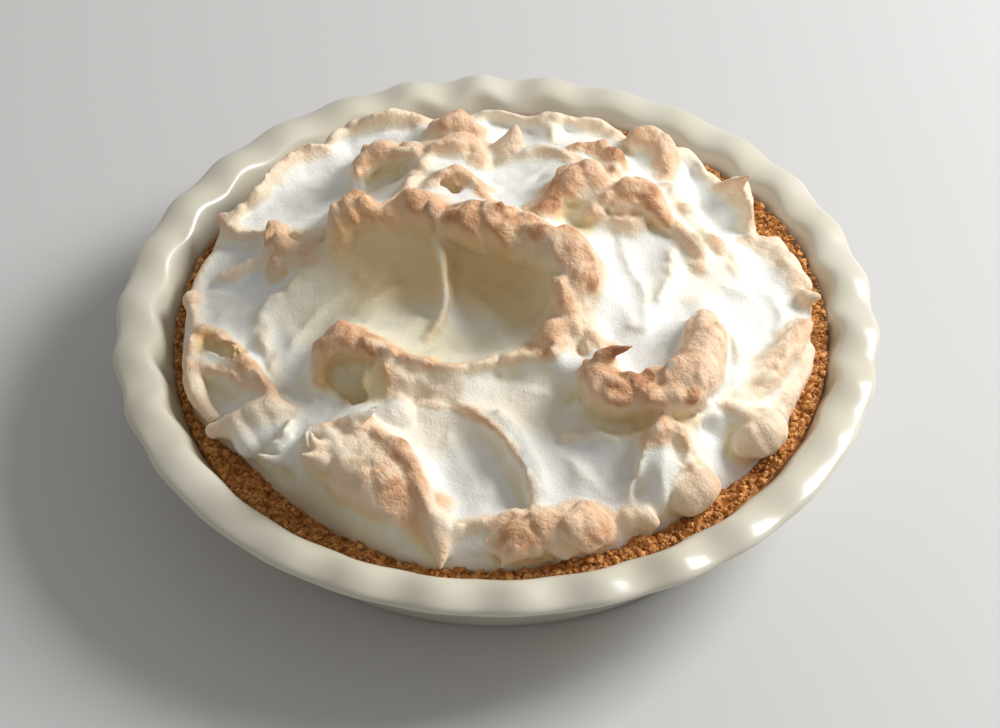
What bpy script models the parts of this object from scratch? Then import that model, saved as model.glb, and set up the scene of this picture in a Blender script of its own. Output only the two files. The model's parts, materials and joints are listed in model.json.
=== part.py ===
"""A lemon meringue pie in its own dish: a fluted ceramic pie dish, a cracker-crumb crust with its
filling, and swirled, browned meringue piled on top. Metres, +Z up, origin under the middle of the
foot."""

import math
import random

import bmesh
import bpy
import numpy as np

MM = 0.001

# Driving dimensions, in millimetres.
RIM_WIDTH = 270.0  # across the rolled edge of the dish
RIM_HEIGHT = 42.0  # middle of the rolled edge above the table
FLUTES = 30  # waves round the rim
FLUTE_PHASE = math.radians(-3.0)  # a crest lies here
DISH_FLOOR = 7.0
SHELL_TOP = 28.0  # level on which the meringue lies
GAP = 0.3  # between pieces that touch

SEGMENTS = 4 * FLUTES  # four points to a flute: crest, side, trough, side
ANGLES = FLUTE_PHASE + np.arange(SEGMENTS) * 2 * math.pi / SEGMENTS

# Inside of the dish's wall.
WALL_TOP_RADIUS, WALL_TOP_HEIGHT, WALL_FLUTE = 119.0, RIM_HEIGHT - 1.0, 0.75
WALL_MIDDLE_RADIUS, WALL_MIDDLE_HEIGHT = 114.5, 30.0
WALL_FOOT_RADIUS, WALL_FOOT_HEIGHT = 103.5, 11.0
FLOOR_RADIUS = 93.0

# Turned profile of the dish, from the recess under its foot, out over the rim and down to its floor:
# radius, height, and how far a flute's crest moves the point outwards and upwards.
DISH_PROFILE = (
    (94.0, 2.0, 0.0, 0.0),
    (96.0, 0.0, 0.0, 0.0),
    (105.0, 0.0, 0.0, 0.0),
    (107.0, 3.0, 0.0, 0.0),
    (121.0, RIM_HEIGHT - 7.0, 0.0, 0.0),
    (124.0, RIM_HEIGHT - 4.0, 0.2, 0.3),
    (132.4, RIM_HEIGHT - 2.4, 0.5, 0.5),
    (RIM_WIDTH / 2, RIM_HEIGHT, 0.55, 0.55),
    (132.8, RIM_HEIGHT + 2.4, 0.55, 0.6),
    (124.5, RIM_HEIGHT + 3.5, 0.7, 1.0),
    (121.0, RIM_HEIGHT + 2.4, 0.75, 0.9),
    (WALL_TOP_RADIUS, WALL_TOP_HEIGHT, WALL_FLUTE, 0.0),
    (WALL_MIDDLE_RADIUS, WALL_MIDDLE_HEIGHT, 0.0, 0.0),
    (WALL_FOOT_RADIUS, WALL_FOOT_HEIGHT, 0.0, 0.0),
    (FLOOR_RADIUS, DISH_FLOOR, 0.0, 0.0),
)

# Height of the crumb rim against the wall, by angle in degrees.
CRUMB_RIM = ((-160, 32), (-130, 34), (-90, 37), (-30, 39), (10, 40), (60, 39), (120, 37), (165, 35))

# Edge of the meringue seen from above: angle in degrees, radius.
EDGE = (
    (-172, 112), (-162, 112), (-154, 108), (-146, 102), (-137, 104), (-126, 107), (-112, 110),
    (-100, 112), (-88, 112), (-72, 111), (-60, 109), (-52, 110), (-44, 107), (-34, 112), (-20, 111),
    (-4, 113), (6, 112), (18, 107), (28, 106), (40, 103), (54, 104), (68, 107), (86, 108),
    (104, 107), (118, 108), (132, 109), (146, 109), (160, 109), (174, 111),
)  # fmt: skip
EDGE_LOBES = ((7, 1.0, 1.1), (13, 2.3, 0.9), (19, 4.0, 0.7))  # lobes round the pie, phase, reach
EDGE_MOST = 113.5  # leaves room for the crumb rim
EDGE_TUCK = 5.0  # how far the meringue draws in under its edge, inside the crumb rim
EDGE_HEIGHT = 36.0  # where the rounded edge turns down to the crumbs
EDGE_FULLNESS, EDGE_DROP = 11, 0.5  # how late and how steeply the top turns down to that edge
DOME_EDGE, DOME_RISE, DOME_RADIUS = 51.0, 19.0, 110.0

# Hollows left by the spoon: path of the bottom (x, y, height), half width, rise at that half width.
HOLLOWS = (
    (((-40, 0, 61), (-50, -20, 59), (-64, -42, 55)), 21, 11),
    (((-58, -38, 57), (-68, -54, 53), (-74, -70, 49)), 13, 7),
    (((-4, -6, 60), (8, -22, 60), (4, -38, 63)), 20, 13),
    (((-57, -51, 54), (-46, -53, 52), (-36, -55, 55)), 8, 8),
    (((-34, -64, 62), (-30, -70, 61)), 5, 5),
    (((-20, -62, 62), (-12, -80, 58), (-5, -97, 51)), 12, 8),
    (((17, -62, 64), (27, -77, 59), (34, -92, 52)), 14, 8),
    (((72, -68, 55), (80, -78, 48)), 9, 6),
    (((44, 10, 66), (49, -8, 63), (50, -30, 62), (45, -44, 64)), 17, 10),
    (((70, 54, 56), (80, 30, 52), (91, 8, 48), (96, -14, 46), (96, -32, 46)), 12, 10),
    (((84, -30, 55), (86, -43, 51)), 8, 7),
    (((-2, 46, 66), (12, 32, 66), (20, 14, 69)), 12, 10),
    (((-32, 42, 63), (-48, 38, 60), (-62, 38, 57)), 11, 10),
    (((-86, 38, 53), (-74, 58, 51), (-50, 78, 51), (-28, 82, 52)), 13, 6),
    (((-98, 14, 47), (-86, 4, 50), (-74, -8, 54)), 12, 8),
    (((-97, -30, 48), (-91, -43, 46), (-86, -53, 45)), 9, 8),
    (((-98, -21, 48), (-86, -28, 50)), 4, 6),
    (((-4, 84, 53), (8, 80, 54)), 8, 7),
    (((28, 80, 53), (42, 72, 54)), 9, 7),
    (((-4, 44, 64), (2, 54, 62)), 6, 6),
)  # fmt: skip

# Crests between the hollows: path of the crest (x, y, height), radius of the roll at its two ends,
# steepness of its sides.
CRESTS = (
    (((-56, 2, 68), (-52, 8, 77), (-47, 13, 85), (-39, 16, 81), (-32, 14, 82), (-24, 14, 87)
     ), 8, 8, 2.6),
    (((-24, 14, 87), (-14, 8, 84), (-4, 5, 89), (8, -1, 88), (18, -8, 88), (26, -17, 87)), 8, 10, 2.8),
    (((26, -17, 87), (30, -27, 83), (28, -36, 77), (24, -44, 72)), 10, 5, 2.8),
    (((-21, 8, 76), (-19, -3, 70), (-19, -16, 67), (-20, -28, 67), (-25, -39, 68)), 1, 1, 1.2),
    (((-60, -48, 58), (-56, -41, 68), (-50, -37, 77), (-42, -40, 76), (-32, -45, 73)), 7, 3, 2.4),
    (((-32, -45, 73), (-16, -51, 72), (3, -51, 72), (16, -47, 72), (25, -41, 73)), 2, 2, 1.4),
    (((-62, -81, 63), (-56, -75, 68), (-48, -69, 69), (-39, -70, 68), (-30, -79, 66),
      (-22, -91, 61), (-24, -103, 53)), 3, 6, 1.4),
    (((-56, -84, 60), (-42, -88, 62), (-30, -98, 57)), 12, 9, 1.4),
    (((-80, -74, 51), (-74, -80, 50), (-67, -83, 51), (-61, -82, 58)), 1.5, 2, 1.6),
    (((4, -106, 52), (13, -105, 54), (24, -104, 54), (34, -104, 50)), 6, 7, 1.8),
    (((-9, -67, 69), (-3, -74, 70), (6, -84, 67), (11, -94, 62), (14, -102, 56)), 2, 2, 1.6),
    (((58, -72, 66), (51, -79, 63), (48, -88, 58), (46, -99, 50)), 2, 2, 1.6),
    (((58, -72, 67), (63, -78, 62), (65, -86, 54)), 5, 3, 1.6),
    (((41, -99, 50), (48, -101, 47), (54, -96, 50)), 4, 4, 1.8),
    (((85, -65, 53), (91, -62, 55), (97, -60, 53)), 8, 7, 2.2),
    (((66, -59, 62), (76, -58, 63), (84, -58, 57)), 4, 3, 1.5),
    (((45, -46, 75), (37, -49, 77), (32, -54, 77), (31, -61, 75), (39, -67, 72), (52, -65, 71)
     ), 1, 9, 2.4),
    (((52, -65, 71), (63, -58, 73), (71, -46, 75), (73, -34, 76), (69, -25, 75)), 9, 7, 2.2),
    (((13, 14, 79), (19, 25, 82), (28, 36, 84), (37, 32, 79), (50, 30, 79), (58, 22, 77)), 6, 7, 2.4),
    (((58, 22, 77), (66, 11, 75), (72, 3, 74), (73, -8, 71)), 5, 3, 1.8),
    (((48, 62, 65), (57, 66, 72), (63, 56, 68)), 9, 8, 2.2),
    (((65, 71, 60), (78, 54, 62), (88, 46, 67), (91, 40, 56)), 2, 4, 1.8),
    (((93, 26, 55), (99, 17, 57), (107, 12, 53), (113, 2, 50), (110, -8, 49)), 5, 4, 2),
    (((108, -14, 49), (102, -30, 51), (93, -40, 53), (86, -50, 54)), 4, 4, 1.6),
    (((73, 36, 67), (77, 24, 67), (85, 8, 64)), 4, 4, 1.8),
    (((-8, 95, 57), (10, 93, 60), (19, 89, 67), (32, 90, 61), (46, 86, 55)), 2, 2, 1.5),
    (((19, 89, 67), (20, 80, 61), (21, 72, 57)), 2, 2, 1.2),
    (((1, 64, 66), (6, 69, 74), (12, 66, 67)), 6, 6, 1.8),
    (((-2, 54, 67), (10, 57, 72), (24, 57, 73), (32, 48, 75)), 4, 5, 1.8),
    (((27, 63, 67), (40, 60, 71), (46, 56, 69)), 4, 6, 1.8),
    (((-51, 44, 66), (-45, 55, 74), (-33, 58, 74), (-22, 54, 74)), 7, 5, 2.2),
    (((-13, 82, 66), (-13, 68, 72), (-20, 54, 76), (-24, 38, 76), (-27, 24, 79)), 8, 5, 2),
    (((-22, 36, 79), (-12, 39, 82), (-5, 27, 81)), 5, 4, 1.8),
    (((-101, 37, 50), (-94, 52, 51), (-82, 72, 53), (-64, 80, 54), (-46, 94, 58), (-22, 94, 56)
     ), 4, 3, 1.5),
    (((-100, 34, 53), (-92, 25, 58), (-80, 23, 62), (-70, 18, 65)), 4, 4, 1.6),
    (((-74, 16, 66), (-69, 4, 69), (-60, 1, 67)), 5, 4, 1.8),
    (((-106, 24, 48), (-110, 8, 48), (-106, -4, 47)), 4, 4, 1.5),
    (((-106, -20, 49), (-98, -16, 56), (-87, -26, 60), (-77, -41, 60), (-72, -54, 55)), 5, 5, 1.8),
    (((-108, -22, 48), (-106, -40, 48), (-97, -54, 47), (-84, -62, 48)), 4, 4, 1.6),
    (((-97, -24, 53), (-88, -33, 55), (-82, -42, 55)), 2, 2, 1.5),
)  # fmt: skip

# Knobs with no length: x, y, height of the top, radius.
KNOBS = (
    (65, -88, 55, 9), (-47, 12, 86, 10), (-22, 13, 88, 9),
    (27, -18, 89, 11), (-4, 4, 90, 8), (28, 36, 85, 9),
)  # fmt: skip

KNOB_STEEPNESS = 2.5
MERINGUE_RINGS = 56  # before thinning
MERINGUE_THINNING = 0.29  # share of the meringue's faces that stays
BLEND = 3.0  # how softly a crest runs into a hollow


def clear_scene():
    for obj in list(bpy.data.objects):
        bpy.data.objects.remove(obj, do_unlink=True)


def material(name, colour, roughness, coat=0.0):
    """A Principled material in one colour."""
    made = bpy.data.materials.new(name)
    made.use_nodes = True
    shader = made.node_tree.nodes["Principled BSDF"]
    shader.inputs["Base Color"].default_value = (*colour, 1.0)
    shader.inputs["Roughness"].default_value = roughness
    shader.inputs["Metallic"].default_value = 0.0
    shader.inputs["Coat Weight"].default_value = coat
    return made


def body_of_rings(name, rings, made, sharp_degrees):
    """A closed body from rings of points, the first and last ring each filled to a middle point."""
    mesh = bmesh.new()
    loops = [[mesh.verts.new(point * MM) for point in ring] for ring in rings]
    for lower, upper in zip(loops, loops[1:]):
        for i in range(SEGMENTS):
            j = (i + 1) % SEGMENTS
            mesh.faces.new((lower[i], lower[j], upper[j], upper[i]))
    for loop, first in ((loops[0], True), (loops[-1], False)):
        height = sum(vert.co.z for vert in loop) / SEGMENTS
        middle = mesh.verts.new((0.0, 0.0, height))
        for i in range(SEGMENTS):
            j = (i + 1) % SEGMENTS
            mesh.faces.new((loop[j], loop[i], middle) if first else (loop[i], loop[j], middle))
    bmesh.ops.recalc_face_normals(mesh, faces=mesh.faces)
    data = bpy.data.meshes.new(name)
    mesh.to_mesh(data)
    mesh.free()
    data.shade_smooth()
    data.set_sharp_from_angle(angle=math.radians(sharp_degrees))
    data.materials.append(made)
    obj = bpy.data.objects.new(name, data)
    bpy.context.collection.objects.link(obj)
    return obj


def ring(radius, height):
    """The points of one ring, whose radius and height may change with the angle."""
    radius = np.broadcast_to(radius, SEGMENTS)
    height = np.broadcast_to(height, SEGMENTS)
    return np.stack([radius * np.cos(ANGLES), radius * np.sin(ANGLES), height], axis=1)


def round_the_pie(pairs, angles):
    """A value given by (angle in degrees, value) pairs, eased between them."""
    known, values = zip(*pairs)
    spread = np.radians((-6.0, -3.0, 0.0, 3.0, 6.0))
    eased = [np.interp(np.degrees(angles + step), known, values, period=360.0) for step in spread]
    return np.mean(eased, axis=0)


def meringue_edge():
    """Radius of the meringue's uneven edge."""
    lobes = sum(reach * np.sin(count * ANGLES + phase) for count, phase, reach in EDGE_LOBES)
    return np.minimum(round_the_pie(EDGE, ANGLES) + lobes, EDGE_MOST)


def make_dish():
    flute = np.cos(FLUTES * (ANGLES - FLUTE_PHASE))
    rings = [ring(radius + out * flute, height + up * flute) for radius, height, out, up in DISH_PROFILE]
    glaze = material("cream_glaze", (0.62, 0.58, 0.48), 0.15, coat=0.5)
    return body_of_rings("pie_dish", rings, glaze, 50)


def wall_radius(height):
    """Inside of the dish's wall at a height above its middle, as its facets run."""
    share = (height - WALL_MIDDLE_HEIGHT) / (WALL_TOP_HEIGHT - WALL_MIDDLE_HEIGHT)
    flute = WALL_FLUTE * np.cos(FLUTES * (ANGLES - FLUTE_PHASE))
    return WALL_MIDDLE_RADIUS + share * (WALL_TOP_RADIUS + flute - WALL_MIDDLE_RADIUS)


def make_crust():
    """The filled pie shell: solid under the meringue, with a crumb rim standing round it."""
    clearance = GAP + 0.1
    uneven = random.Random(3)
    bumps = np.array([uneven.uniform(-0.8, 0.8) for _ in range(SEGMENTS)])
    rim = round_the_pie(CRUMB_RIM, ANGLES)
    inner = meringue_edge() + 3 * GAP
    outer = wall_radius(rim - 1.0) - clearance
    rings = [
        ring(FLOOR_RADIUS - clearance, DISH_FLOOR + GAP),
        ring(WALL_FOOT_RADIUS - clearance, WALL_FOOT_HEIGHT + GAP),
        ring(WALL_MIDDLE_RADIUS - clearance, WALL_MIDDLE_HEIGHT + GAP),
        ring(outer, rim - 1.0),
        ring(inner * 0.4 + outer * 0.6, rim + bumps),
        ring(inner + 0.6, rim - 2.5 + bumps),
        ring(inner - EDGE_TUCK, SHELL_TOP),
    ]
    crumb = material("cracker_crumb", (0.45, 0.19, 0.05), 0.8)
    return body_of_rings("crumb_crust", rings, crumb, 40)


def eased_path(points, steps=5):
    """Points along a smooth curve through the given ones."""
    known = np.array(points, float)
    ends = np.concatenate([2 * known[:1] - known[1:2], known, 2 * known[-1:] - known[-2:-1]])
    path = []
    for a, b, c, d in zip(ends, ends[1:], ends[2:], ends[3:]):
        for t in np.arange(steps) / steps:
            path.append(
                b + 0.5 * t * (c - a + t * (2 * a - 5 * b + 4 * c - d + t * (3 * (b - c) + d - a)))
            )
    return np.array([*path, known[-1]])


def nearest(x, y, path):
    """Distance in plan from each place to a path, the path's height there and the share passed."""
    distance = np.full(x.shape, np.inf)
    height = np.zeros(x.shape)
    share = np.zeros(x.shape)
    for number, (start, end) in enumerate(zip(path, path[1:])):
        step = end - start
        along = ((x - start[0]) * step[0] + (y - start[1]) * step[1]) / (step[0] ** 2 + step[1] ** 2)
        along = np.clip(along, 0.0, 1.0)
        away = np.hypot(x - start[0] - along * step[0], y - start[1] - along * step[1])
        closer = away < distance
        distance = np.where(closer, away, distance)
        height = np.where(closer, start[2] + along * step[2], height)
        share = np.where(closer, (number + along) / (len(path) - 1), share)
    return distance, height, share


def blended_top(a, b, soft):
    """The higher of two surfaces, with a fillet where they meet."""
    share = np.clip(0.5 + 0.5 * (a - b) / soft, 0.0, 1.0)
    return b + share * (a - b) + soft * share * (1 - share)


def roll_height(distance, crest, radius, steepness):
    """A round roll along a crest, with straight sides below it."""
    turn = radius * steepness / math.hypot(1.0, steepness)
    top = radius - np.sqrt(np.maximum(radius**2 - np.minimum(distance, turn) ** 2, 0.0))
    return crest - top - steepness * np.maximum(distance - turn, 0.0)


def meringue_height(x, y, edge):
    """Top of the meringue: a dome with rounded edges, spooned out and drawn up into crests."""
    radius = np.hypot(x, y)
    dome = DOME_EDGE + DOME_RISE * (1 - (radius / DOME_RADIUS) ** 2)
    top = dome
    for points, width, rise in HOLLOWS:
        distance, bottom, _ = nearest(x, y, eased_path(points))
        top = -blended_top(-top, -(bottom + rise * (distance / width) ** 2), BLEND)
    for points, first, last, steepness in CRESTS:
        distance, crest, share = nearest(x, y, eased_path(points))
        roll = first + share * (last - first)
        top = blended_top(top, roll_height(distance, crest, roll, steepness), BLEND)
    for knob_x, knob_y, crest, roll in KNOBS:
        distance = np.hypot(x - knob_x, y - knob_y)
        top = blended_top(top, roll_height(distance, crest, roll, KNOB_STEEPNESS), BLEND)
    share = np.clip(radius / edge, 0.0, 1.0)
    return EDGE_HEIGHT + (top - EDGE_HEIGHT) * (1 - share**EDGE_FULLNESS) ** EDGE_DROP


def make_meringue():
    edge = meringue_edge()
    base = SHELL_TOP + GAP
    shares = 1 - (1 - np.arange(1, MERINGUE_RINGS + 1) / MERINGUE_RINGS) ** 1.15
    rings = [ring(edge - EDGE_TUCK, base)]
    for share in shares[::-1]:
        flat = ring(share * edge, 0.0)
        height = meringue_height(flat[:, 0], flat[:, 1], edge)
        rings.append(ring(share * edge, height))
    white = material("browned_meringue", (0.82, 0.76, 0.64), 0.6)
    obj = body_of_rings("meringue", rings, white, 180)
    above = [vert.index for vert in obj.data.vertices if vert.co.z > (EDGE_HEIGHT + 1.0) * MM]
    obj.vertex_groups.new(name="top").add(above, 1.0, "REPLACE")
    thin = obj.modifiers.new("thin", "DECIMATE")
    thin.ratio = MERINGUE_THINNING
    thin.vertex_group = "top"
    return obj


clear_scene()
make_dish()
make_crust()
make_meringue()
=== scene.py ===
"""The looks of a lemon meringue pie in its own fluted dish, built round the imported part."""

import json
import math

import bpy
import numpy as np
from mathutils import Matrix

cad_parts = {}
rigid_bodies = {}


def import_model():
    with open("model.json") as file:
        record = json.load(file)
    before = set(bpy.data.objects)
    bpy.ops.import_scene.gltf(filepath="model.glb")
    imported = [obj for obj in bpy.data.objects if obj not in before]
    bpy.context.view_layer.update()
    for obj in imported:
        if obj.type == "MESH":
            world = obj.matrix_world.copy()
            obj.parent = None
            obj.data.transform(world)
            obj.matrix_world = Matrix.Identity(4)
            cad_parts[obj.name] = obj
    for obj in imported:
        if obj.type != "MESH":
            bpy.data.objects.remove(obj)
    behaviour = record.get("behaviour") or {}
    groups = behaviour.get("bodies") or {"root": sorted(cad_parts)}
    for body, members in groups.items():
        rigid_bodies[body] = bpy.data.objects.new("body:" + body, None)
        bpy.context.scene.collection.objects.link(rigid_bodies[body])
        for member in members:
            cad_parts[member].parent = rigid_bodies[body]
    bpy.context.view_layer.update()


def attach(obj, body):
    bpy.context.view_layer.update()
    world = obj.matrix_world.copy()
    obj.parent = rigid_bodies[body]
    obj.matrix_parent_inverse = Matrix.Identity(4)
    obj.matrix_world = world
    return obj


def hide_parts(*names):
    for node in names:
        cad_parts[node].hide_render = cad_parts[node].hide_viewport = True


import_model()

bpy.ops.object.select_all(action="DESELECT")


# The camera looks down at the pie from the front, halfway between level and straight down.

camera = bpy.data.objects.new("camera", bpy.data.cameras.new("camera"))
camera.data.sensor_width = 36
camera.data.lens = 96.7
camera.location = (0.0013, -0.6814, 0.7119)
camera.rotation_euler = (math.radians(44.57), 0, 0)
bpy.context.collection.objects.link(camera)
bpy.context.scene.camera = camera
bpy.context.scene.view_settings.view_transform = "Standard"


# A pale, matt floor for the dish to stand on, lit by one large soft lamp from behind on the right,
# with an even, slightly warm room round it.

FLOOR_SIZE = 4.0
bpy.ops.mesh.primitive_plane_add(size=FLOOR_SIZE, location=(0, 0, 0))
floor = bpy.context.object
floor.name = "floor"
floor_paint = bpy.data.materials.new("pale_floor")
floor_paint.use_nodes = True
floor_shader = floor_paint.node_tree.nodes["Principled BSDF"]
floor_shader.inputs["Base Color"].default_value = (0.62, 0.62, 0.62, 1)
floor_shader.inputs["Roughness"].default_value = 0.5
floor.data.materials.append(floor_paint)

lamp = bpy.data.objects.new("lamp", bpy.data.lights.new("lamp", "AREA"))
lamp.data.size = 0.6
lamp.data.energy = 22
lamp.data.color = (1.0, 0.995, 0.985)
lamp.location = (1.02, 0.40, 0.84)
lamp.rotation_euler = (-lamp.location).to_track_quat("-Z", "Y").to_euler()
bpy.context.collection.objects.link(lamp)

room = bpy.data.worlds.new("room")
room.use_nodes = True
room.node_tree.nodes["Background"].inputs["Color"].default_value = (1.0, 0.975, 0.935, 1)
room.node_tree.nodes["Background"].inputs["Strength"].default_value = 0.345
bpy.context.scene.world = room


# The pie dish is thick cream stoneware, thrown with a sloping wall and a wide flat rim that is
# pressed into thirty soft flutes while the clay is damp. A glossy glaze lies over it. The clay is
# turned ring by ring from the foot, out over the rim and down inside, and then the flutes are pressed.

MM = 0.001
DISH_POINTS = 360
FLUTES = 30
FLUTE_CREST = math.radians(-3)
# Flutes pressed by hand differ: by what share, in how many waves round the rim, from which phase.
FLUTE_DIFFERENCES = ((0.35, 4, 1.0), (0.25, 7, 2.6))
# Radius, height, and how far a flute's crest pushes the clay outwards and upwards, in millimetres.
DISH_TURN = (
    (94, 2.0, 0, 0), (95.6, 0.3, 0, 0), (100, 0, 0, 0), (104.6, 0.3, 0, 0), (107, 3, 0, 0),
    (111, 11.5, 0, 0), (116, 23.5, 0, 0), (120.6, 34.6, 0, 0), (124, 37.8, 0.2, 0.3),
    (129, 38.8, 0.4, 0.5), (133, 39.9, 0.5, 0.55), (134.9, 41.6, 0.55, 0.55),
    (134.4, 43.4, 0.55, 0.6), (131.5, 44.7, 0.55, 0.8), (127.5, 45.4, 0.6, 1.0),
    (123.8, 45.0, 0.7, 1.0), (121.2, 43.6, 0.8, 0.8), (119.6, 41.0, 0.8, 0.3),
    (118.0, 37.5, 0.5, 0), (114.5, 30, 0, 0), (109, 20, 0, 0), (103.5, 11, 0, 0),
    (98, 7.6, 0, 0), (90, 7, 0, 0),
)  # fmt: skip
DISH_STEPS = 3  # rings turned between two of those points
GLAZE_THIN, GLAZE_THICK = (0.60, 0.565, 0.455), (0.66, 0.63, 0.535)
GLAZE_SPECK = (0.22, 0.12, 0.05)


def eased(points, steps):
    """Points along a smooth curve through the given ones."""
    known = np.array(points, float)
    ends = np.concatenate([2 * known[:1] - known[1:2], known, 2 * known[-1:] - known[-2:-1]])
    path = []
    for a, b, c, d in zip(ends, ends[1:], ends[2:], ends[3:]):
        for t in np.arange(steps) / steps:
            bend = 2 * a - 5 * b + 4 * c - d + t * (3 * (b - c) + d - a)
            path.append(b + 0.5 * t * (c - a + t * bend))
    return np.array([*path, known[-1]])


def places(obj):
    """The object's points, in millimetres."""
    flat = np.empty(len(obj.data.vertices) * 3, np.float32)
    obj.data.vertices.foreach_get("co", flat)
    return flat.reshape(-1, 3).astype(float) / MM


def noise(tree, scale, detail, roughness=0.5):
    """Unevenness in the piece's own coordinates."""
    texture = tree.nodes.new("ShaderNodeTexNoise")
    texture.inputs["Scale"].default_value = scale
    texture.inputs["Detail"].default_value = detail
    texture.inputs["Roughness"].default_value = roughness
    place = tree.nodes.new("ShaderNodeTexCoord")
    tree.links.new(place.outputs["Object"], texture.inputs["Vector"])
    return texture.outputs["Fac"]


def spread(tree, value, low, high, to_low=0.0, to_high=1.0):
    """A value stretched from one range to another, and held at its ends."""
    spreading = tree.nodes.new("ShaderNodeMapRange")
    spreading.inputs["From Min"].default_value = low
    spreading.inputs["From Max"].default_value = high
    spreading.inputs["To Min"].default_value = to_low
    spreading.inputs["To Max"].default_value = to_high
    tree.links.new(value, spreading.inputs["Value"])
    return spreading.outputs["Result"]


def product(tree, a, b):
    """Two values multiplied."""
    times = tree.nodes.new("ShaderNodeMath")
    times.operation = "MULTIPLY"
    tree.links.new(a, times.inputs[0])
    tree.links.new(b, times.inputs[1])
    return times.outputs["Value"]


def shades(tree, share, stops):
    """A colour by share: (share, colour) from the first stop to the last."""
    ramp = tree.nodes.new("ShaderNodeValToRGB")
    first, last = ramp.color_ramp.elements
    first.position, last.position = stops[0][0], stops[-1][0]
    first.color, last.color = (*stops[0][1], 1), (*stops[-1][1], 1)
    for where, colour in stops[1:-1]:
        ramp.color_ramp.elements.new(where).color = (*colour, 1)
    tree.links.new(share, ramp.inputs["Fac"])
    return ramp.outputs["Color"]


def mixed(tree, share, colour, other, blend="MIX"):
    """A colour with a share of another laid over it."""
    mix = tree.nodes.new("ShaderNodeMix")
    mix.data_type = "RGBA"
    mix.blend_type = blend
    tree.links.new(share, mix.inputs["Factor"])
    tree.links.new(colour, mix.inputs["A"])
    mix.inputs["B"].default_value = (*other, 1)
    return mix.outputs["Result"]


def relief(tree, height, strength, distance):
    """A fine relief of the surface; returns its node, which can lie over another relief."""
    bump = tree.nodes.new("ShaderNodeBump")
    bump.inputs["Strength"].default_value = strength
    bump.inputs["Distance"].default_value = distance
    tree.links.new(height, bump.inputs["Height"])
    return bump


rings = eased(DISH_TURN, DISH_STEPS)
foot_radius, foot_height = rings[0, :2] * MM
bpy.ops.mesh.primitive_circle_add(
    vertices=DISH_POINTS, radius=foot_radius, fill_type="NGON", location=(0, 0, foot_height)
)
dish = bpy.context.object
dish.name = "glazed_dish"
bpy.ops.object.mode_set(mode="EDIT")
bpy.ops.mesh.select_all(action="SELECT")
for before, after in zip(rings, rings[1:]):
    bpy.ops.mesh.extrude_region_move(
        TRANSFORM_OT_translate={"value": (0, 0, (after[1] - before[1]) * MM)}
    )
    widen = after[0] / before[0]
    bpy.ops.transform.resize(value=(widen, widen, 1), center_override=(0, 0, after[1] * MM))
bpy.ops.mesh.select_all(action="SELECT")
bpy.ops.mesh.normals_make_consistent(inside=False)
bpy.ops.object.mode_set(mode="OBJECT")
bpy.ops.object.transform_apply(location=True, rotation=True, scale=True)

points = places(dish)
angle = np.arctan2(points[:, 1], points[:, 0])
radius = np.hypot(points[:, 0], points[:, 1])
turn = np.argmin(
    np.hypot(radius[:, None] - rings[None, :, 0], points[:, 2:3] - rings[None, :, 1]), axis=1
)
flute = np.cos(FLUTES * (angle - FLUTE_CREST))
flute = flute * (
    1 + sum(share * np.sin(waves * angle + phase) for share, waves, phase in FLUTE_DIFFERENCES)
)
wider = radius + rings[turn, 2] * flute
points = np.stack(
    [wider * np.cos(angle), wider * np.sin(angle), points[:, 2] + rings[turn, 3] * flute], axis=1
)
dish.data.vertices.foreach_set("co", (points * MM).astype(np.float32).ravel())
dish.data.update()
bpy.ops.object.shade_smooth()

glaze = bpy.data.materials.new("cream_glaze")
glaze.use_nodes = True
tree = glaze.node_tree
clay = tree.nodes["Principled BSDF"]
clay.inputs["Roughness"].default_value = 0.3
clay.inputs["Coat Weight"].default_value = 0.35
clay.inputs["Coat Roughness"].default_value = 0.12
cloudy = shades(tree, noise(tree, scale=28, detail=4), ((0.3, GLAZE_THIN), (0.7, GLAZE_THICK)))
# A few pinholes and baked-on specks.
speck = tree.nodes.new("ShaderNodeTexVoronoi")
speck.inputs["Scale"].default_value = 95
place = tree.nodes.new("ShaderNodeTexCoord")
tree.links.new(place.outputs["Object"], speck.inputs["Vector"])
small = spread(tree, speck.outputs["Distance"], low=0.045, high=0.02)
rare = spread(tree, speck.outputs["Color"], low=0.86, high=0.9)
stained = mixed(tree, product(tree, small, rare), cloudy, GLAZE_SPECK)
tree.links.new(stained, clay.inputs["Base Color"])
ripple = relief(tree, noise(tree, scale=60, detail=2), strength=0.06, distance=0.001)
tree.links.new(ripple.outputs["Normal"], clay.inputs["Normal"])
dish.data.materials.append(glaze)
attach(dish, "root")
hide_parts("pie_dish")
bpy.ops.object.select_all(action="DESELECT")


# The crust is crushed crackers bound with butter, pressed up the wall by hand and baked until it
# is golden brown. The core is one rough body; the larger and the finer crumbs that stand out of
# it are true grains lying on it.

CRUMB_STEPS = 480
CRUMB_ROWS = 22  # from under the meringue out to the wall
# Height of the crumb rim against the wall, by angle in degrees, in millimetres.
CRUMB_RIM = (
    (-160, 32), (-130, 34), (-90, 37), (-30, 39), (10, 40), (60, 39), (120, 37), (165, 35),
)  # fmt: skip
BELOW_TOP = 1.0  # the core meets the wall this far below that
CRUMB_SLOPE = 4.5  # fall from the wall down to the meringue's side
CRUMB_WIDTH, CRUMB_HOLLOW = 18.0, 1.3  # over this width, at first slowly
CRUMB_BUMPS = ((1.1, 7.0, 5), (0.7, 3.0, 6), (0.35, 1.6, 7))  # depth, size and a seed
TURNED_DOWN, TURN_FROM, TURN_WIDTH = 2.2, 0.93, 0.07  # the rim's edge at the wall
INSIDE = 92.0  # the core runs this far in under the meringue
BURIED = 26.0
INNER_WALL = 0.72  # share of the dish's turned rings after which its inside begins
RIM_GAP, WALL_GAP = 0.4, 0.5  # between the core and the glaze, at the rim and low down
LATTICE = 64
LATTICE_TURNS = (0.3, 1.1)
EVENED = 0.75  # brings the two lattices' sum back to about -1 to 1
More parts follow.
